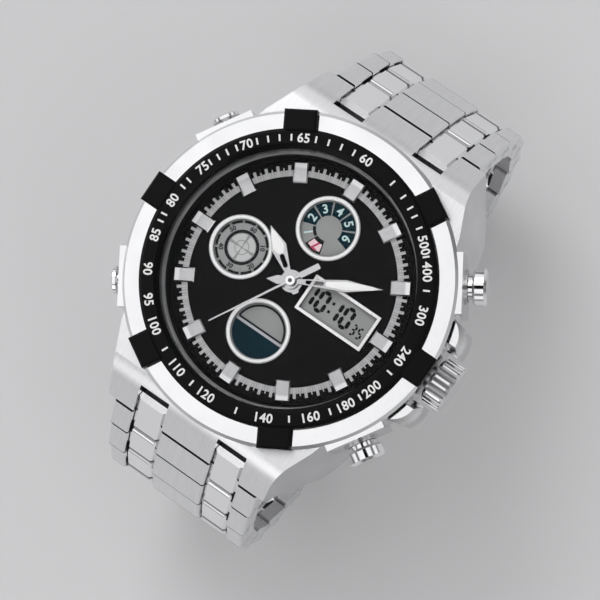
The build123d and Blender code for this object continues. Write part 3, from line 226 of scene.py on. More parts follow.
def middle_of(node):
    """Centre of a node's box, in millimetres."""
    low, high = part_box(node)
    return tuple((low + high) / 2 / MM)


# The dark and the light tone that brushed steel runs between, and the tint of brass
BRUSHED = (0.66, 0.66, 0.67), (0.92, 0.92, 0.93)
BRASS = (0.78, 0.60, 0.30)


def fine_scratches(paint, where):
    """Hairlines at two slants, as polished steel gathers them."""
    first = paint.noise(paint.stretch(where, (0.5, 14.0, 3.0)), 1.3, 3.0)
    second = paint.noise(paint.stretch(where, (11.0, 0.6, 4.0)), 1.1, 3.0)
    return paint.fade(first * second, 0.24, 0.42)


def polished(name, tint, rough):
    """Polished steel with hairlines and a slow change of gloss."""
    paint = Paint(name, Metallic=1.0)
    where = paint.place()
    cloud = paint.noise(where, 0.35, 2.0)
    marks = fine_scratches(paint, where)
    return paint.set(
        Base_Color=paint.tone(cloud, tint, 0.93),
        Roughness=marks * 0.07 + cloud * 0.04 + rough,
        Normal=paint.bump(marks, 0.002),
    ).material


def enamel(name):
    """Bright plated trim that reads nearly white, with faint lathe lines."""
    paint = Paint(name, Metallic=0.35, Specular_IOR_Level=0.5)
    lines = paint.noise(paint.place(), 6.0, 3.0)
    return paint.set(
        Base_Color=paint.mix(lines, (0.80, 0.80, 0.805), (0.93, 0.93, 0.93)),
        Roughness=lines * 0.12 + 0.2,
        Normal=paint.bump(lines, 0.002),
    ).material


def hub_finish():
    """Seconds hand: polished, with a white rim and a dark pin at its hub."""
    pin_radius = 0.3
    rim_radius = 0.6
    paint = Paint("seconds_hand_polish", Metallic=1.0)
    where = paint.place()
    away = paint.reach(*paint.axes(where)[:2])
    grain = paint.noise(where, 3.0, 3.0)
    rim = (paint.fade(away, pin_radius, pin_radius + 0.04)
           * paint.fade(away, rim_radius + 0.06, rim_radius))
    pin = paint.fade(away, pin_radius, pin_radius - 0.04)
    steel = paint.mix(grain, (0.50, 0.50, 0.51), (0.66, 0.66, 0.67))
    ringed = paint.mix(rim, steel, (0.95, 0.95, 0.95))
    return paint.set(
        Base_Color=paint.mix(pin, ringed, (0.10, 0.10, 0.105)),
        Roughness=grain * 0.1 + rim * 0.1 + 0.16,
        Normal=paint.bump(grain, 0.002),
    ).material


def satin(name, tint, fineness, rough=0.3):
    """Brushed steel, its lines close together along the axis of the highest fineness."""
    paint = Paint(name, Metallic=1.0)
    where = paint.place()
    lines = paint.lines(paint.stretch(where, fineness))
    cloud = paint.noise(where, 0.3, 2.0)
    return paint.set(
        Base_Color=paint.tone(lines, tint, 0.82),
        Roughness=lines * 0.16 + cloud * 0.05 + (rough - 0.1),
        Normal=paint.bump(lines, 0.006),
    ).material


def turned_metal(name, tint, rough, centre=(0, 0, 0), rings=9.0):
    """Metal with the fine circular lines of a lathe or a circular brush."""
    paint = Paint(name, Metallic=1.0)
    away, angle, height = paint.turning(paint.place(centre))
    lines = paint.lines(paint.vector(away * rings, angle * 1.5, height))
    return paint.set(
        Base_Color=paint.tone(lines, tint, 0.82),
        Roughness=lines * 0.18 + (rough - 0.09),
        Normal=paint.bump(lines, 0.005),
    ).material


def case_finish():
    """Polished case with brushed lug tops and hood, and painted shade that darkens its polished side
    walls.
    """
    lug_radius = 23.75
    lug_reach = 17.0
    brushed_from = 3.0
    paint = Paint("case_steel_finish", Metallic=1.0)
    where = paint.place()
    x, y, z = paint.axes(where)
    facing = paint.facing()
    away = paint.reach(x, y)
    on_lug = (paint.fade(away, lug_radius, lug_radius + 0.2)
              * paint.fade(abs(y), lug_reach, lug_reach + 1.0))
    upward = paint.fade(abs(facing[0]), 0.42, 0.3) * paint.fade(z, brushed_from, brushed_from + 0.4)
    brushed = on_lug * upward
    lines = paint.lines(paint.stretch(where, (8.0, 0.3, 0.3)))
    cloud = paint.fade(paint.noise(where, 0.16, 2.0), 0.3, 0.7)
    marks = fine_scratches(paint, where)
    # Painted shade: where the surface turns away from facing up, the polished steel gets a darker
    # copy of its tone.
    wall = paint.fade(abs(facing[2]), 0.75, 0.35)
    bright = paint.mix(cloud, (0.80, 0.80, 0.81), (0.87, 0.87, 0.875))
    shade = paint.mix(cloud, (0.56, 0.56, 0.57), (0.64, 0.64, 0.645))
    gloss = paint.mix(wall, bright, shade)
    smooth = marks * 0.06 + cloud * 0.04 + 0.08
    rough = lines * 0.14 + 0.3
    return paint.set(
        Base_Color=paint.mix(brushed, gloss, paint.mix(lines, *BRUSHED)),
        Roughness=brushed * rough + (1 - brushed) * smooth,
        Normal=paint.bump(lines * brushed, 0.006),
    ).material


def band_finish(name, hinge, onward, first):
    """Link: brushed middle and outer blocks, polished blocks between, and painted shade, near black,
    in the gaps at the block ends and where the polished blocks meet their neighbours.
    """
    ear_inner = 4.25
    ear_outer = 9.2
    head = 1.45 if first else 1.15
    tail = 7.05
    ear_tail = 4.37
    ear_front = -0.7
    painted_shade_width = 0.1
    paint = Paint(name, Metallic=1.0)
    slope = degrees(atan2(onward[2] - hinge[2], onward[1] - hinge[1]))
    where = paint.place(hinge, (slope, 0, 0))
    x, along = paint.axes(where)[:2]
    side = abs(x)
    polish = (paint.fade(side, ear_inner - 0.01, ear_inner + 0.02)
              * paint.fade(side, ear_outer + 0.03, ear_outer))
    # Painted shade: dark lines where the gaps at the block ends and beside the polished blocks would
    # fall into shadow, fading softly at the front of the polished blocks.
    painted_end_shade = (paint.fade(along, head + painted_shade_width, head + painted_shade_width / 2)
             + paint.fade(along, tail - painted_shade_width, tail - painted_shade_width / 2))
    painted_ear_shade = paint.fade(along, ear_tail - painted_shade_width, ear_tail - painted_shade_width / 2)
    if not first:
        painted_ear_shade = painted_ear_shade + paint.fade(along, ear_front, ear_front - 0.6)
    dark = polish * painted_ear_shade + (1 - polish) * painted_end_shade
    lines = paint.lines(paint.stretch(where, (8.0, 0.3, 0.3)))
    patch = paint.noise(paint.stretch(where, (0.12, 0.25, 0.25)), 1.0, 1.0)
    marks = fine_scratches(paint, where)
    steel = paint.mix(polish, paint.mix(lines, *BRUSHED), (0.93, 0.93, 0.935))
    smooth = marks * 0.08 + patch * 0.04 + 0.08
    rough = lines * 0.14 + patch * 0.06 + 0.27
    return paint.set(
        # Painted shade: the steel is mixed towards near black in those gaps.
        Base_Color=paint.mix(dark, steel, (0.03, 0.03, 0.032)),
        Roughness=polish * smooth + (1 - polish) * rough + dark * 0.3,
        Normal=paint.bump(lines * (1 - polish), 0.006),
    ).material


def clasp_finish():
    """Clasp: brushed cover and blades with polished side walls."""
    wall_from = 9.3
    paint = Paint("clasp_steel_finish", Metallic=1.0)
    where = paint.place()
    x = paint.axes(where)[0]
    wall = paint.fade(abs(x), wall_from, wall_from + 0.15)
    lines = paint.lines(paint.stretch(where, (7.0, 0.25, 0.25)))
    grain = paint.mix(lines, (0.50, 0.50, 0.51), (0.66, 0.66, 0.67))
    return paint.set(
        Base_Color=paint.mix(wall, grain, (0.84, 0.84, 0.845)),
        Roughness=wall * 0.1 + (1 - wall) * (lines * 0.15 + 0.27),
        Normal=paint.bump(lines * (1 - wall), 0.006),
    ).material


def bezel_finish():
    """Gloss black ring with lathe lines and a faint, uneven lacquer."""
    paint = Paint("bezel_black_finish", Specular_IOR_Level=0.08, Coat_Roughness=0.05)
    where = paint.place()
    away, angle, height = paint.turning(where)
    lines = paint.noise(paint.vector(away * 7.0, angle * 2.0, height), 1.0, 3.0)
    speckle = paint.noise(where, 3.0, 3.0)
    return paint.set(
        Base_Color=paint.mix(lines, (0.0010, 0.0010, 0.0011), (0.0035, 0.0035, 0.0037)),
        Roughness=lines * 0.08 + speckle * 0.06 + 0.16,
        Coat_Weight=speckle * 0.04,
        Normal=paint.bump(lines, 0.0015),
    ).material


def flange_finish():
    """Black flange with a narrow satin grey ring just under the glass."""
    ring_from = 10.35
    paint = Paint("flange_finish", Specular_IOR_Level=0.1)
    where = paint.place()
    height = paint.axes(where)[2]
    ring = paint.fade(height, ring_from, ring_from + 0.1)
    grain = paint.noise(where, 6.0, 3.0)
    grey = paint.mix(grain, (0.26, 0.26, 0.265), (0.38, 0.38, 0.385))
    return paint.set(
        Base_Color=paint.mix(ring, (0.002, 0.002, 0.0022), grey),
        Metallic=ring * 0.5,
        Roughness=grain * 0.1 + 0.38,
    ).material


def dial_finish():
    """Black lacquer dial with a faint sunburst under it."""
    paint = Paint("dial_black_finish", Specular_IOR_Level=0.04)
    where = paint.place()
    away, angle, height = paint.turning(where)
    rays = paint.noise(paint.vector(angle * 40.0, away * 0.05, height), 1.0, 3.0, 0.6)
    dust = paint.noise(where, 9.0, 2.0)
    return paint.set(
        Base_Color=paint.mix(rays, (0.0015, 0.0015, 0.0017), (0.006, 0.006, 0.0065)),
        Roughness=rays * 0.12 + dust * 0.08 + 0.3,
        Normal=paint.bump(rays, 0.0008),
    ).material


def glass_finish():
    """Clear glass: what is below shows, and it mirrors the light at a slant."""
    head_on = 0.0025
    edge_on = 0.6
    paint = Paint("crystal_clear_glass", Base_Color=(1.0, 1.0, 1.0), Metallic=1.0)
    smear = paint.noise(paint.place(), 0.2, 2.0)
    paint.set(Roughness=smear * 0.02 + 0.01)
    mirror = Socket(paint, paint.shader.outputs[0])
    clear = paint.node("ShaderNodeBsdfTransparent", None, {"Color": (1.0, 1.0, 1.0)})
    slant = paint.node("ShaderNodeLayerWeight", None, {"Blend": 0.5}, "Facing")
    blend = paint.node("ShaderNodeMixShader", None,
                       {0: slant ** 5.0 * edge_on + head_on, 1: clear, 2: mirror})
    paint.feed(paint.nodes["Material Output"].inputs["Surface"], blend)
    return paint.material


def panel_finish(name, dark, light, spot=12.0):
    """Display film behind the dial, with a fine grain."""
    paint = Paint(name, Specular_IOR_Level=0.06)
    where = paint.place()
    grain = paint.noise(where, spot, 3.0)
    drift = paint.noise(where, 0.25, 1.0)
    return paint.set(
        Base_Color=paint.mix(grain * 0.5 + drift * 0.5, dark, light),
        Roughness=grain * 0.12 + 0.28,
    ).material


def print_finish(name, dark, light, rough=0.5):
    """Printed colour with the small unevenness of thick ink."""
    paint = Paint(name, Specular_IOR_Level=0.35)
    grain = paint.noise(paint.place(), 7.0, 4.0)
    return paint.set(
        Base_Color=paint.mix(grain, dark, light),
        Roughness=grain * 0.15 + (rough - 0.07),
        Normal=paint.bump(grain, 0.004),
    ).material


def rubber_finish():
    """Black gasket rubber with a matt grain."""
    paint = Paint("gasket_rubber", Specular_IOR_Level=0.3)
    grain = paint.noise(paint.place(), 8.0, 5.0)
    return paint.set(
        Base_Color=paint.mix(grain, (0.012, 0.012, 0.012), (0.03, 0.03, 0.03)),
        Roughness=grain * 0.2 + 0.6,
        Normal=paint.bump(grain, 0.01),
    ).material


def plastic_finish(name, dark, light):
    """Moulded plastic with flow marks and a fine grain."""
    paint = Paint(name)
    where = paint.place()
    grain = paint.noise(where, 5.0, 5.0)
    flow = paint.noise(paint.stretch(where, (0.4, 1.6, 0.6)), 1.0, 2.0)
    return paint.set(
        Base_Color=paint.mix(flow, dark, light),
        Roughness=grain * 0.2 + 0.42,
        Normal=paint.bump(grain, 0.008),
    ).material


def board_finish():
    """Green lacquer over copper tracks, with tinned pads."""
    weave_fineness = 9.0
    paint = Paint("board_green_finish")
    where = paint.place()
    x, y = paint.axes(where)[:2]
    weave = (paint.maths("SINE", x * weave_fineness)
             * paint.maths("SINE", y * weave_fineness))
    track = paint.fade(paint.cells(where, 0.55, "DISTANCE_TO_EDGE"), 0.09, 0.06)
    pads = paint.fade(paint.cells(where, 0.8), 0.2, 0.17)
    green = paint.mix(weave * 0.5 + 0.5, (0.010, 0.075, 0.035), (0.014, 0.10, 0.048))
    lacquer = paint.mix(track, green, (0.03, 0.20, 0.085))
    return paint.set(
        Base_Color=paint.mix(pads, lacquer, (0.66, 0.65, 0.62)),
        Metallic=pads,
        Roughness=pads * 0.05 + weave * 0.04 + 0.3,
        Normal=paint.bump(track + pads * 0.6, 0.02),
    ).material


def coil_finish():
    """Enamelled copper wire, wound round the coil's length."""
    wire_fineness = 28.0
    paint = Paint("coil_copper_finish", Metallic=1.0)
    x, y = paint.axes(paint.place(middle_of("coil")))[:2]
    low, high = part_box("coil")
    along = x if high.x - low.x > high.y - low.y else y
    turns = abs(paint.maths("SINE", along * wire_fineness))
    grain = paint.noise(paint.place(), 2.0, 3.0)
    return paint.set(
        Base_Color=paint.mix(turns, (0.22, 0.07, 0.025), (0.74, 0.34, 0.16)),
        Roughness=grain * 0.1 + 0.28,
        Normal=paint.bump(turns, 0.05),
    ).material


def crown_finish():
    """Crown: polished, with turned lines, and darker and rougher in its flutes."""
    crown_height = 6.2
    flute_top = 3.48
    paint = Paint("crown_steel_finish", Metallic=1.0)
    away, angle, along = paint.turning(paint.place((0, 0, crown_height), (0, 90, 0)))
    barrel = paint.fade(abs(paint.facing()[0]), 0.6, 0.4)
    flute = paint.fade(away, flute_top, flute_top - 0.18) * barrel
    lines = paint.lines(paint.vector(away * 10.0, angle * 1.2, along * 5.0), 0.6)
    steel = paint.mix(lines, (0.66, 0.66, 0.67), (0.84, 0.84, 0.845))
    return paint.set(
        Base_Color=paint.mix(flute, steel, (0.16, 0.16, 0.165)),
        Roughness=flute * 0.2 + lines * 0.1 + 0.1,
        Normal=paint.bump(lines, 0.004),
    ).material


def pusher_finish():
    """Pushers: mirror polish with a few lathe lines round the caps."""
    paint = Paint("pusher_steel_finish", Metallic=1.0)
    where = paint.place()
    x, y, z = paint.axes(where)
    lines = paint.noise(paint.vector(paint.reach(x, y) * 12.0, z * 0.6, 0.0), 1.0, 3.0)
    marks = fine_scratches(paint, where)
    return paint.set(
        Base_Color=paint.mix(lines, (0.78, 0.78, 0.785), (0.88, 0.88, 0.885)),
        Roughness=lines * 0.04 + marks * 0.04 + 0.02,
        Normal=paint.bump(lines, 0.0006),
    ).material


def marker_finish():
    """Applied silver blocks with a fine linear brush, bright bevels and a lighter outer end."""
    outer_end = 15.9
    paint = Paint("marker_silver_finish", Metallic=1.0)
    away, angle, height = paint.turning(paint.place())
    flat = paint.fade(paint.facing()[2], 0.9, 0.97)
    lines = paint.lines(paint.vector(angle * 150.0, away * 0.7, height))
    grain = paint.mix(lines, (0.36, 0.36, 0.365), (0.66, 0.66, 0.67))
    face = paint.mix(paint.fade(away, outer_end, outer_end + 0.45), grain, (0.80, 0.80, 0.81))
    return paint.set(
        Base_Color=paint.mix(flat, (0.90, 0.90, 0.905), face),
        Roughness=flat * (lines * 0.2 + 0.24) + 0.08,
        Normal=paint.bump(lines * flat, 0.01),
    ).material


def magnet_finish():
    """Dull grey magnet with a coarse grain."""
    paint = Paint("magnet_grey_finish", Metallic=0.6)
    grain = paint.noise(paint.place(), 14.0, 5.0, 0.7)
    return paint.set(
        Base_Color=paint.mix(grain, (0.07, 0.07, 0.075), (0.2, 0.2, 0.21)),
        Roughness=grain * 0.25 + 0.4,
        Normal=paint.bump(grain, 0.012),
    ).material


# Inks and films of the printed pieces
white_print = print_finish("scale_white_ink", (0.62, 0.62, 0.61), (0.82, 0.82, 0.81))
track_print = print_finish("track_grey_ink", (0.33, 0.33, 0.335), (0.45, 0.45, 0.455), 0.4)
tooth_print = print_finish("track_light_ink", (0.44, 0.44, 0.445), (0.6, 0.6, 0.605), 0.4)
lume = print_finish("hand_white_fill", (0.80, 0.81, 0.79), (0.93, 0.93, 0.92), 0.55)
bar_print = print_finish("bar_light_ink", (0.36, 0.37, 0.40), (0.48, 0.49, 0.53), 0.4)
digit_white = print_finish("digit_pale_ink", (0.42, 0.60, 0.60), (0.62, 0.76, 0.76), 0.4)
segment_ink = panel_finish("segment_dark", (0.003, 0.0033, 0.0033), (0.010, 0.0105, 0.0105))
film_grey = panel_finish("film_grey", (0.22, 0.225, 0.225), (0.36, 0.365, 0.36))
film_segment = panel_finish("film_segment", (0.26, 0.265, 0.265), (0.38, 0.385, 0.385))
film_light = panel_finish("film_light", (0.44, 0.445, 0.445), (0.60, 0.60, 0.60))
film_dark = panel_finish("film_dark", (0.006, 0.008, 0.009), (0.018, 0.02, 0.022))
film_teal = panel_finish("film_teal", (0.0005, 0.007, 0.012), (0.002, 0.028, 0.042), 3.0)
film_red = panel_finish("film_red", (0.42, 0.04, 0.10), (0.55, 0.08, 0.16))
film_pink = panel_finish("film_pink", (0.78, 0.52, 0.58), (0.90, 0.70, 0.74))

# Finishes that several nodes share
hand_polish = polished("hand_polish", (0.56, 0.56, 0.57), 0.14)
works_steel = satin("works_steel_finish", (0.66, 0.66, 0.67), (0.35, 9.0, 0.35))
brass = turned_metal("wheel_brass_finish", BRASS, 0.24)
gasket_rubber = rubber_finish()
pusher_polish = pusher_finish()
clasp_steel = clasp_finish()

finishes = {
    "case_middle": case_finish(),
    "bezel_ring": bezel_finish(),
    "crystal": glass_finish(),
    "crystal_gasket": gasket_rubber,
    "case_back_gasket": gasket_rubber,
    "rehaut_ring": flange_finish(),
    "dial": dial_finish(),
    "hour_markers": marker_finish(),
    "subdial_rings": enamel("subdial_ring_white"),
    "lcd_frame": enamel("lcd_frame_white"),
    "time_display": panel_finish("time_panel_grey", (0.25, 0.255, 0.25), (0.36, 0.365, 0.36)),
    "round_displays": film_grey,
    "hour_hand": hand_polish,
    "minute_hand": hand_polish,
    "seconds_hand": hub_finish(),
    "rotor": magnet_finish(),
    "module_plate": plastic_finish("plate_dark_plastic", (0.03, 0.03, 0.032), (0.06, 0.06, 0.063)),
    "module_holder_ring": plastic_finish("holder_pale_plastic", (0.55, 0.55, 0.52), (0.7, 0.7, 0.67)),
    "circuit_board": board_finish(),
    "stator": satin("stator_grey_finish", (0.52, 0.52, 0.53), (9.0, 0.35, 0.35), 0.36),
    "coil": coil_finish(),
    "battery": turned_metal("cell_nickel_finish", (0.80, 0.80, 0.79), 0.2, middle_of("battery")),
    "buzzer_disc": turned_metal("buzzer_brass_finish", BRASS, 0.3, middle_of("buzzer_disc")),
    "case_back": turned_metal("back_steel_finish", (0.70, 0.70, 0.71), 0.28, rings=7.0),
    "crown": crown_finish(),
}
for wheel in ("seconds_wheel", "centre_wheel", "hour_wheel", "third_wheel"):
    finishes[wheel] = brass
for steel_node in ("works_screws", "battery_clamp", "case_back_screws", "crown_stem", "stem_clip",
                   "crown_tube", "pusher_tubes", "lug_spring_bars"):
    finishes[steel_node] = works_steel
for hour in (2, 4, 8, 10):
    finishes[f"pusher_{hour}"] = pusher_polish
for clasp_part in ("clasp_cover", "clasp_long_blade", "clasp_short_blade"):
    finishes[clasp_part] = clasp_steel

# Each link's pattern lies along the line from its hinge to the next one
joint_places = {joint["name"]: [c / MM for c in joint["pos_m"]]
                for joint in frame["joints"] if "pos_m" in joint}
band_end = joint_places["clasp_cover_hinge"]
links_a_side = 8
for half, sign in ((12, 1), (6, -1)):
    hinges = [joint_places[f"band_{half}_hinge_{count}"] for count in range(1, links_a_side + 1)]
    hinges.append([band_end[0], sign * abs(band_end[1]), band_end[2]])
    for count in range(1, links_a_side + 1):
        finishes[f"link_{half}_{count}"] = band_finish(
            f"band_steel_{half}_{count}", hinges[count - 1], hinges[count], count == 1)

for node, shown in frame["nodes"].items():
    shown.data.materials.clear()
    shown.data.materials.append(finishes[node])


# Modelling

def along(angle, radius):
    """The way from the middle to a radius at a clock angle, counted from 12 o'clock."""
    turn = radians(angle)
    return Vector((sin(turn) * radius, cos(turn) * radius, 0))


def facing_clock(angle, radius=0.0, centre=(0, 0), flip=False):
    """Place of a flat shape whose +Y points outwards at a clock angle, or inwards if flipped."""
    spin = -radians(angle) + (pi if flip else 0)
    spot = Vector((*centre, 0)) + along(angle, radius)
    return Matrix.Translation(spot * MM) @ Matrix.Rotation(spin, 4, "Z")


def slab(bm, outline, bottom, top, place=Matrix.Identity(4)):
    """A flat solid between two heights from its outline."""
    corners = [bm.verts.new(place @ (Vector((x, y, bottom)) * MM)) for x, y in outline]
    face = bm.faces.new(corners)
    raised = bmesh.ops.extrude_face_region(bm, geom=[face])["geom"]
    moved = [v for v in raised if isinstance(v, bmesh.types.BMVert)]
    bmesh.ops.translate(bm, verts=moved, vec=(0, 0, (top - bottom) * MM))


def oblong(width, height, x=0.0, y=0.0):
    """Corners of a rectangle round a point."""
    return [(x - width / 2, y - height / 2), (x + width / 2, y - height / 2),
            (x + width / 2, y + height / 2), (x - width / 2, y + height / 2)]


def sector(bm, centre, inner, outer, bottom, top, start=0.0, sweep=360.0):
    """A ring or a part of one, swept clockwise from a clock angle."""
    degrees_a_step = 4
    whole = sweep >= 360
    middle = Vector((*centre, 0))
    corners = [bm.verts.new((middle + along(start, r) + Vector((0, 0, z))) * MM)
               for r, z in ((inner, bottom), (outer, bottom), (outer, top), (inner, top))]
    if whole:
        edges = [bm.edges.new((corners[n], corners[(n + 1) % 4])) for n in range(4)]
        profile = corners + edges
    else:
        face = bm.faces.new(corners)
        profile = corners + list(face.edges) + [face]
    bmesh.ops.spin(bm, geom=profile, cent=middle * MM, axis=(0, 0, 1), angle=-radians(sweep),
                   steps=max(4, int(sweep / degrees_a_step)), use_merge=whole, use_duplicate=False)


def number(bm, text, height, bottom, thickness, place, bold=0.03):
    """A printed number, centred on its place, its strokes widened by a share of its height."""
    capital_share = 0.7
    letters = bpy.data.curves.new("number_" + text, "FONT")
    letters.body = text
    letters.size = height * MM / capital_share
    letters.extrude = thickness * MM / 2
    letters.offset = height * MM * bold
    letters.space_character = 1.05
    letters.align_x = "CENTER"
    letters.align_y = "CENTER"
    letters.resolution_u = 4
    holder = bpy.data.objects.new("number_" + text, letters)
    bpy.context.scene.collection.objects.link(holder)
    bpy.context.view_layer.update()
    shape = bpy.data.meshes.new_from_object(holder)
    bpy.data.objects.remove(holder)
    across = [v.co.x for v in shape.vertices]
    upright = [v.co.y for v in shape.vertices]
    middle = Vector((min(across) + max(across), min(upright) + max(upright), 0)) / 2
    lift = Vector((0, 0, bottom + thickness / 2)) * MM
    shape.transform(place @ Matrix.Translation(lift - middle))
    bm.from_mesh(shape)
    bpy.data.meshes.remove(shape)


def show(name, bm, material):
    """Makes a visible object from a finished mesh."""
    mesh = bpy.data.meshes.new(name)
    bm.to_mesh(mesh)
    bm.free()
    mesh.materials.append(material)
    made = bpy.data.objects.new(name, mesh)
    bpy.context.scene.collection.objects.link(made)
    return made


def piece(name, bm, body, material, smooth=False):
    """Closes a mesh and makes it a piece that rides on a body."""
    weld_distance = 1e-7
    sharp_angle = radians(35)
    bmesh.ops.remove_doubles(bm, verts=bm.verts, dist=weld_distance)
    bmesh.ops.recalc_face_normals(bm, faces=bm.faces)
    made = show(name, bm, material)
    if smooth:
        made.data.shade_smooth()
        made.data.set_sharp_from_angle(angle=sharp_angle)
    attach(made, body)


# Scale on the bezel
scale_numbers = (60, 65, 70, 75, 80, 85, 90, 95, 100, 110, 120, 140, 160, 180, 200, 240, 300, 400,
                 500)
scale_ticks = (61, 62, 63, 64, 66, 67, 68, 69, 71, 72, 73, 74, 77, 78, 82, 83, 105, 115, 130, 150,
               170, 190, 220, 350, 450, 600, 700, 800, 1000, 1500)
scale_radius = 19.68
scale_height = 1.26
tick_size = (0.26, 0.95)
inward_from = 100
inward_to = 245
print_height = 0.03
print_sink = 0.005


def speed_angle(value):
    """Clock angle of a value on the speed scale."""
    return 360 * 60 / value % 360


bm = bmesh.new()
for value in scale_numbers:
    angle = speed_angle(value)
    inward = inward_from < angle < inward_to
    number(bm, str(value), scale_height, bezel_top - print_sink, print_height,
           facing_clock(angle, scale_radius, flip=inward))
for value in scale_ticks:
    slab(bm, oblong(*tick_size), bezel_top - print_sink, bezel_top + print_height - print_sink,
         facing_clock(speed_angle(value), scale_radius))
piece("bezel_scale", bm, "case", white_print)

# Minute track on the dial: a band, a tooth at each minute and finer ones between
track_inner = 14.95
track_outer = 15.8
tooth_outer = 16.5
half_tooth_outer = 16.15
tooth_width = 0.42
fine_tooth_width = 0.16
tooth_height = 1.6 * print_height
fine_tooth_height = 1.3 * print_height

bm = bmesh.new()
sector(bm, (0, 0), track_inner, track_outer, dial_top - print_sink, dial_top + print_height)
piece("minute_track", bm, "case", track_print)

bm = bmesh.new()
for minute in range(60):
    if minute % 5:
        slab(bm, oblong(tooth_width, tooth_outer - track_inner), dial_top, dial_top + tooth_height,
             facing_clock(6 * minute, (tooth_outer + track_inner) / 2))
    for part in (1.5, 3.0, 4.5):
        outer = half_tooth_outer if part == 3.0 else track_outer
        slab(bm, oblong(fine_tooth_width, outer - track_inner),
             dial_top, dial_top + fine_tooth_height,
             facing_clock(6 * minute + part, (outer + track_inner) / 2))
piece("minute_teeth", bm, "case", tooth_print)


# Films and inks on the display panels, in thin layers that start a little way in
film_step = 0.005
film_sink = -2
film_ink = 0.02
fine_ink = 0.016
bold_stroke = 0.05
display_radius = 3.85


def layer(steps):
    """Height of so many steps of film above the panels."""
    return panel_top + film_step * steps


# Weekday display at 12 o'clock: seven fields round a grey middle, and a pink one in the first
field_start = -196.5
field_sweep = 43.5
field_inner = 1.9
weekday_height = 1.25
weekday_radius = 2.92
last_day_height = 1.2
last_day_radius = 2.95


def field(bm, index, inner, outer, bottom, top, gap=4.5):
    """One of the seven fields of the upper display, with a gap in degrees to the next."""
    sector(bm, subdial_12, inner, outer, layer(bottom), layer(top),
           field_start + index * field_sweep + gap / 2, field_sweep - gap)


bm = bmesh.new()
for index in range(2, 7):
    field(bm, index, field_inner, display_radius, film_sink, 4)
piece("weekday_fields", bm, "case", film_teal)

bm = bmesh.new()
field(bm, 0, field_inner - 0.1, display_radius, film_sink, 3, 3.0)
field(bm, 1, field_inner - 0.1, field_inner + 0.35, film_sink, 4, 5.0)
piece("weekday_dark_field", bm, "case", film_dark)

bm = bmesh.new()
field(bm, 0, field_inner + 0.5, display_radius - 0.35, 0, 6, 9.0)
piece("weekday_pink_field", bm, "case", film_pink)

bm = bmesh.new()
for index in range(1, 7):
    angle = field_start + (index + 0.5) * field_sweep
    number(bm, str(index), weekday_height, layer(3), film_ink,
           facing_clock(angle, weekday_radius, subdial_12))
piece("weekday_numbers", bm, "case", digit_white)

bm = bmesh.new()
number(bm, "7", last_day_height, layer(5), film_ink,
       facing_clock(field_start + 0.5 * field_sweep, last_day_radius, subdial_12), bold_stroke)
piece("weekday_red_number", bm, "case", film_red)

# Round seconds display at 9 o'clock, from its rim inwards
dash_ring = (3.5, display_radius)
number_ring = (2.58, 3.4)
dark_ring = (2.08, 2.52)
quadrant_ring = (1.08, 1.95)
quadrant_middle = (0.2, 0.95)
seconds_height = 0.64
seconds_radius = 2.98


def ring_part(bm, ring, index, count, top, gap):
    """One of several equal parts of a ring, with a gap in degrees to the next."""
    sweep = 360 / count
    sector(bm, subdial_9, *ring, layer(film_sink), layer(top), index * sweep + gap / 2, sweep - gap)


bm = bmesh.new()
for index in range(12):
    ring_part(bm, dash_ring, index, 12, 4, gap=5)
sector(bm, subdial_9, *dark_ring, layer(film_sink), layer(3))
piece("seconds_rings", bm, "case", film_dark)

bm = bmesh.new()
for index in range(12):
    ring_part(bm, number_ring, index, 12, 2, gap=2.4)
piece("seconds_segments", bm, "case", film_segment)

bm = bmesh.new()
for index, text in enumerate(("60", "10", "20", "30", "40", "50")):
    number(bm, text, seconds_height, panel_top + fine_ink / 2, fine_ink,
           facing_clock(60 * index, seconds_radius, subdial_9, flip=index in (2, 3, 4)), bold_stroke)
piece("seconds_numbers", bm, "case", film_dark)

bm = bmesh.new()
for index in range(4):
    ring_part(bm, quadrant_middle, index, 4, 3, gap=20)
    ring_part(bm, quadrant_ring, index, 4, 3, gap=14)
piece("seconds_quadrants", bm, "case", film_light)

# Two-part display at 6 o'clock: a dark lower half, an edge round the upper one and a bar between
nearly_middle = 0.02
edge_ring = (3.5, 3.8)
edge_half_sweep = 84
edge_line = (7.2, 0.28)
bar_size = (7.6, 0.36)

bm = bmesh.new()
sector(bm, subdial_6, nearly_middle, display_radius, layer(film_sink), layer(4), 90, 180)
piece("lower_teal_half", bm, "case", film_teal)

bm = bmesh.new()
sector(bm, subdial_6, *edge_ring, layer(film_sink), layer(4), -edge_half_sweep, 2 * edge_half_sweep)
slab(bm, oblong(*edge_line, subdial_6[0], subdial_6[1] + bar_size[1]), layer(film_sink), layer(4))
piece("upper_dark_edge", bm, "case", film_dark)

bm = bmesh.new()
slab(bm, oblong(*bar_size, *subdial_6), layer(0), layer(7))
piece("display_bar", bm, "case", bar_print)

# Time display: each bar of a digit has a side, a level and whether it stands upright.
# A digit has a width, a height and a stroke, and is placed from the display's right edge.
bar_places = {
    "a": (0, 1, 0), "b": (1, 0.5, 1), "c": (1, -0.5, 1), "d": (0, -1, 0),
    "e": (-1, -0.5, 1), "f": (-1, 0.5, 1), "g": (0, 0, 0),
}
digit_bars = {"0": "abcdef", "1": "bc", "3": "abcdg", "5": "acdfg"}
bar_gap = 0.04
time_digit = (1.75, 3.4, 0.56)
seconds_digit = (0.86, 1.75, 0.29)
time_level = 0.05
seconds_level = -0.75
colon_inset = 6.85
colon_dot = 0.42


def digit(bm, sign, x, y, width, height, stroke):
    """A seven-bar digit from pointed bars."""
    reach_x, reach_y = (width - stroke) / 2, (height - stroke) / 2
    for key in digit_bars[sign]:
        side, level, upright = bar_places[key]
        length = reach_y if upright else 2 * reach_x
        half, tip = stroke / 2, length / 2 - bar_gap
        bar = [(-tip, 0), (-tip + half, -half), (tip - half, -half),
               (tip, 0), (tip - half, half), (-tip + half, half)]
        turned = [(-b, a) for a, b in bar] if upright else bar
        slab(bm, [(x + side * reach_x + a, y + level * reach_y + b) for a, b in turned],
             layer(film_sink), layer(4))


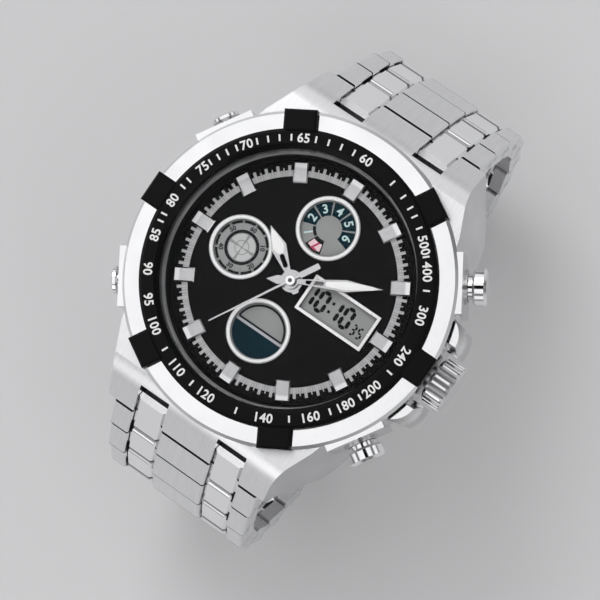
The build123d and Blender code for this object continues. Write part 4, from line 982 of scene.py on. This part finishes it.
bm = bmesh.new()
for sign, inset in (("1", 10.35), ("0", 8.35), ("1", 6.15), ("0", 4.15)):
    digit(bm, sign, lcd_right - inset, time_level, *time_digit)
for level in (-0.62, 0.72):
    slab(bm, oblong(colon_dot, colon_dot, lcd_right - colon_inset, level), layer(film_sink), layer(4))
for sign, inset in (("3", 2.5), ("5", 1.45)):
    digit(bm, sign, lcd_right - inset, seconds_level, *seconds_digit)
piece("time_digits", bm, "case", segment_ink)


# White fills of the hands

def inlay(name, body, angle, hand, outline):
    """White fill on a hand, with softly rounded edges, from half its outline along the hand."""
    sink = 0.02
    rise = 0.07
    rounding = 0.05
    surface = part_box(hand)[1].z / MM
    whole = list(outline) + [(x, -y) for x, y in reversed(outline) if y > 0]
    bm = bmesh.new()
    slab(bm, [(-y, x) for x, y in whole], surface - sink, surface + rise, facing_clock(angle))
    rim = [e for e in bm.edges if all(v.co.z > (surface + rise / 2) * MM for v in e.verts)]
    bmesh.ops.bevel(bm, geom=rim, offset=rounding * MM, segments=2, profile=0.5,
                    affect="EDGES", material=-1)
    piece(name, bm, body, lume, smooth=True)


inlay("hour_fill", "hours", hour_angle, "hour_hand",
      [(4.2, 0.0), (4.25, 0.46), (5.2, 0.86), (7.35, 0.34), (8.0, 0.0)])
inlay("minute_fill", "minutes", minute_angle, "minute_hand",
      [(4.95, 0.0), (5.1, 0.36), (7.9, 0.6), (11.7, 0.26), (12.6, 0.0)])


# Floor, light and camera, in metres

def pale_floor(size):
    """A plain floor just under the object."""
    gap_below = 0.0001
    paint = Paint("pale_floor", Base_Color=(0.60, 0.60, 0.605), Roughness=0.9, Specular_IOR_Level=0.1)
    bm = bmesh.new()
    bmesh.ops.create_grid(bm, x_segments=1, y_segments=1, size=size / 2,
                          matrix=Matrix.Translation((0, 0, cad_box[0].z - gap_below)))
    made = show("floor", bm, paint.material)


def soft_light(name, spot, size, power):
    """A large square lamp that faces the origin."""
    lamp = bpy.data.lights.new(name, "AREA")
    lamp.shape = "SQUARE"
    lamp.size = size
    lamp.energy = power
    holder = bpy.data.objects.new(name, lamp)
    holder.location = spot
    holder.rotation_mode = "QUATERNION"
    holder.rotation_quaternion = (-Vector(spot)).to_track_quat("-Z", "Y")
    bpy.context.scene.collection.objects.link(holder)


def studio_world(strength, card_direction):
    """Grey surroundings with dark bands and a round dark card, which polished parts mirror."""
    bands = ((0.0, 0.50), (0.49, 0.26), (0.54, 0.12), (0.62, 0.74), (0.74, 0.76), (0.79, 0.14),
             (0.85, 0.16), (0.89, 0.78), (0.97, 0.82))
    card_edge = cos(radians(19.5))
    card_full = cos(radians(16.5))
    world = bpy.data.worlds.new("studio")
    bpy.context.scene.world = world
    world.use_nodes = True
    sky = Mixture(world.node_tree)
    direction = sky.node("ShaderNodeTexCoord", out="Generated")

    # Bands by height, from straight down at 0 to straight up at 1
    height = sky.axes(direction)[2] * 0.5 + 0.5
    stops = [(spot, (shade, shade, shade * 1.01)) for spot, shade in bands]
    banded = sky.node("ShaderNodeValToRGB", {"stops": stops}, {"Fac": height})

    # No light from the directions near the card's middle
    toward = sky.node("ShaderNodeVectorMath", {"operation": "DOT_PRODUCT"},
                      {0: direction, 1: card_direction}, "Value")
    lit = sky.node("ShaderNodeMapRange", {"interpolation_type": "SMOOTHSTEP"},
                   {"Value": toward, "From Min": card_edge, "From Max": card_full,
                    "To Min": strength, "To Max": 0.0})
    background = sky.nodes["Background"].inputs
    sky.feed(background["Color"], banded)
    sky.feed(background["Strength"], lit)


def place_camera(aim, back, distance, frame_width, roll):
    """A camera behind its aim, turned about its own line of sight."""
    up = Vector((0, 1, 0))
    right = up.cross(back).normalized()
    view_up = up * cos(roll) - right * sin(roll)
    view_right = right * cos(roll) + up * sin(roll)
    camera = bpy.data.objects.new("camera", bpy.data.cameras.new("camera"))
    camera.data.lens = camera.data.sensor_width * distance / frame_width
    camera.data.clip_start = 0.01
    camera.data.clip_end = 20
    basis = Matrix((view_right, view_up, back)).transposed().to_4x4()
    camera.matrix_world = Matrix.Translation(aim + back * distance) @ basis
    bpy.context.scene.collection.objects.link(camera)
    bpy.context.scene.camera = camera


# The camera looks from above, leaning to the crown's side, with 12 o'clock turned to the right
lean = radians(11.5)
back = Vector((sin(lean), 0, cos(lean)))

pale_floor(size=6.0)
soft_light("key_light", (-0.35, 0.30, 0.55), size=0.35, power=1.6)
soft_light("fill_light", (0.50, -0.10, 0.40), size=0.4, power=0.5)
soft_light("rim_light", (0.05, -0.60, 0.30), size=0.3, power=0.4)
studio_world(strength=1.36, card_direction=back)
bpy.context.scene.view_settings.view_transform = "Standard"
place_camera(aim=Vector((3.4, -1.5, bezel_top)) * MM, back=back, distance=0.4,
             frame_width=83 * MM, roll=radians(34.3))
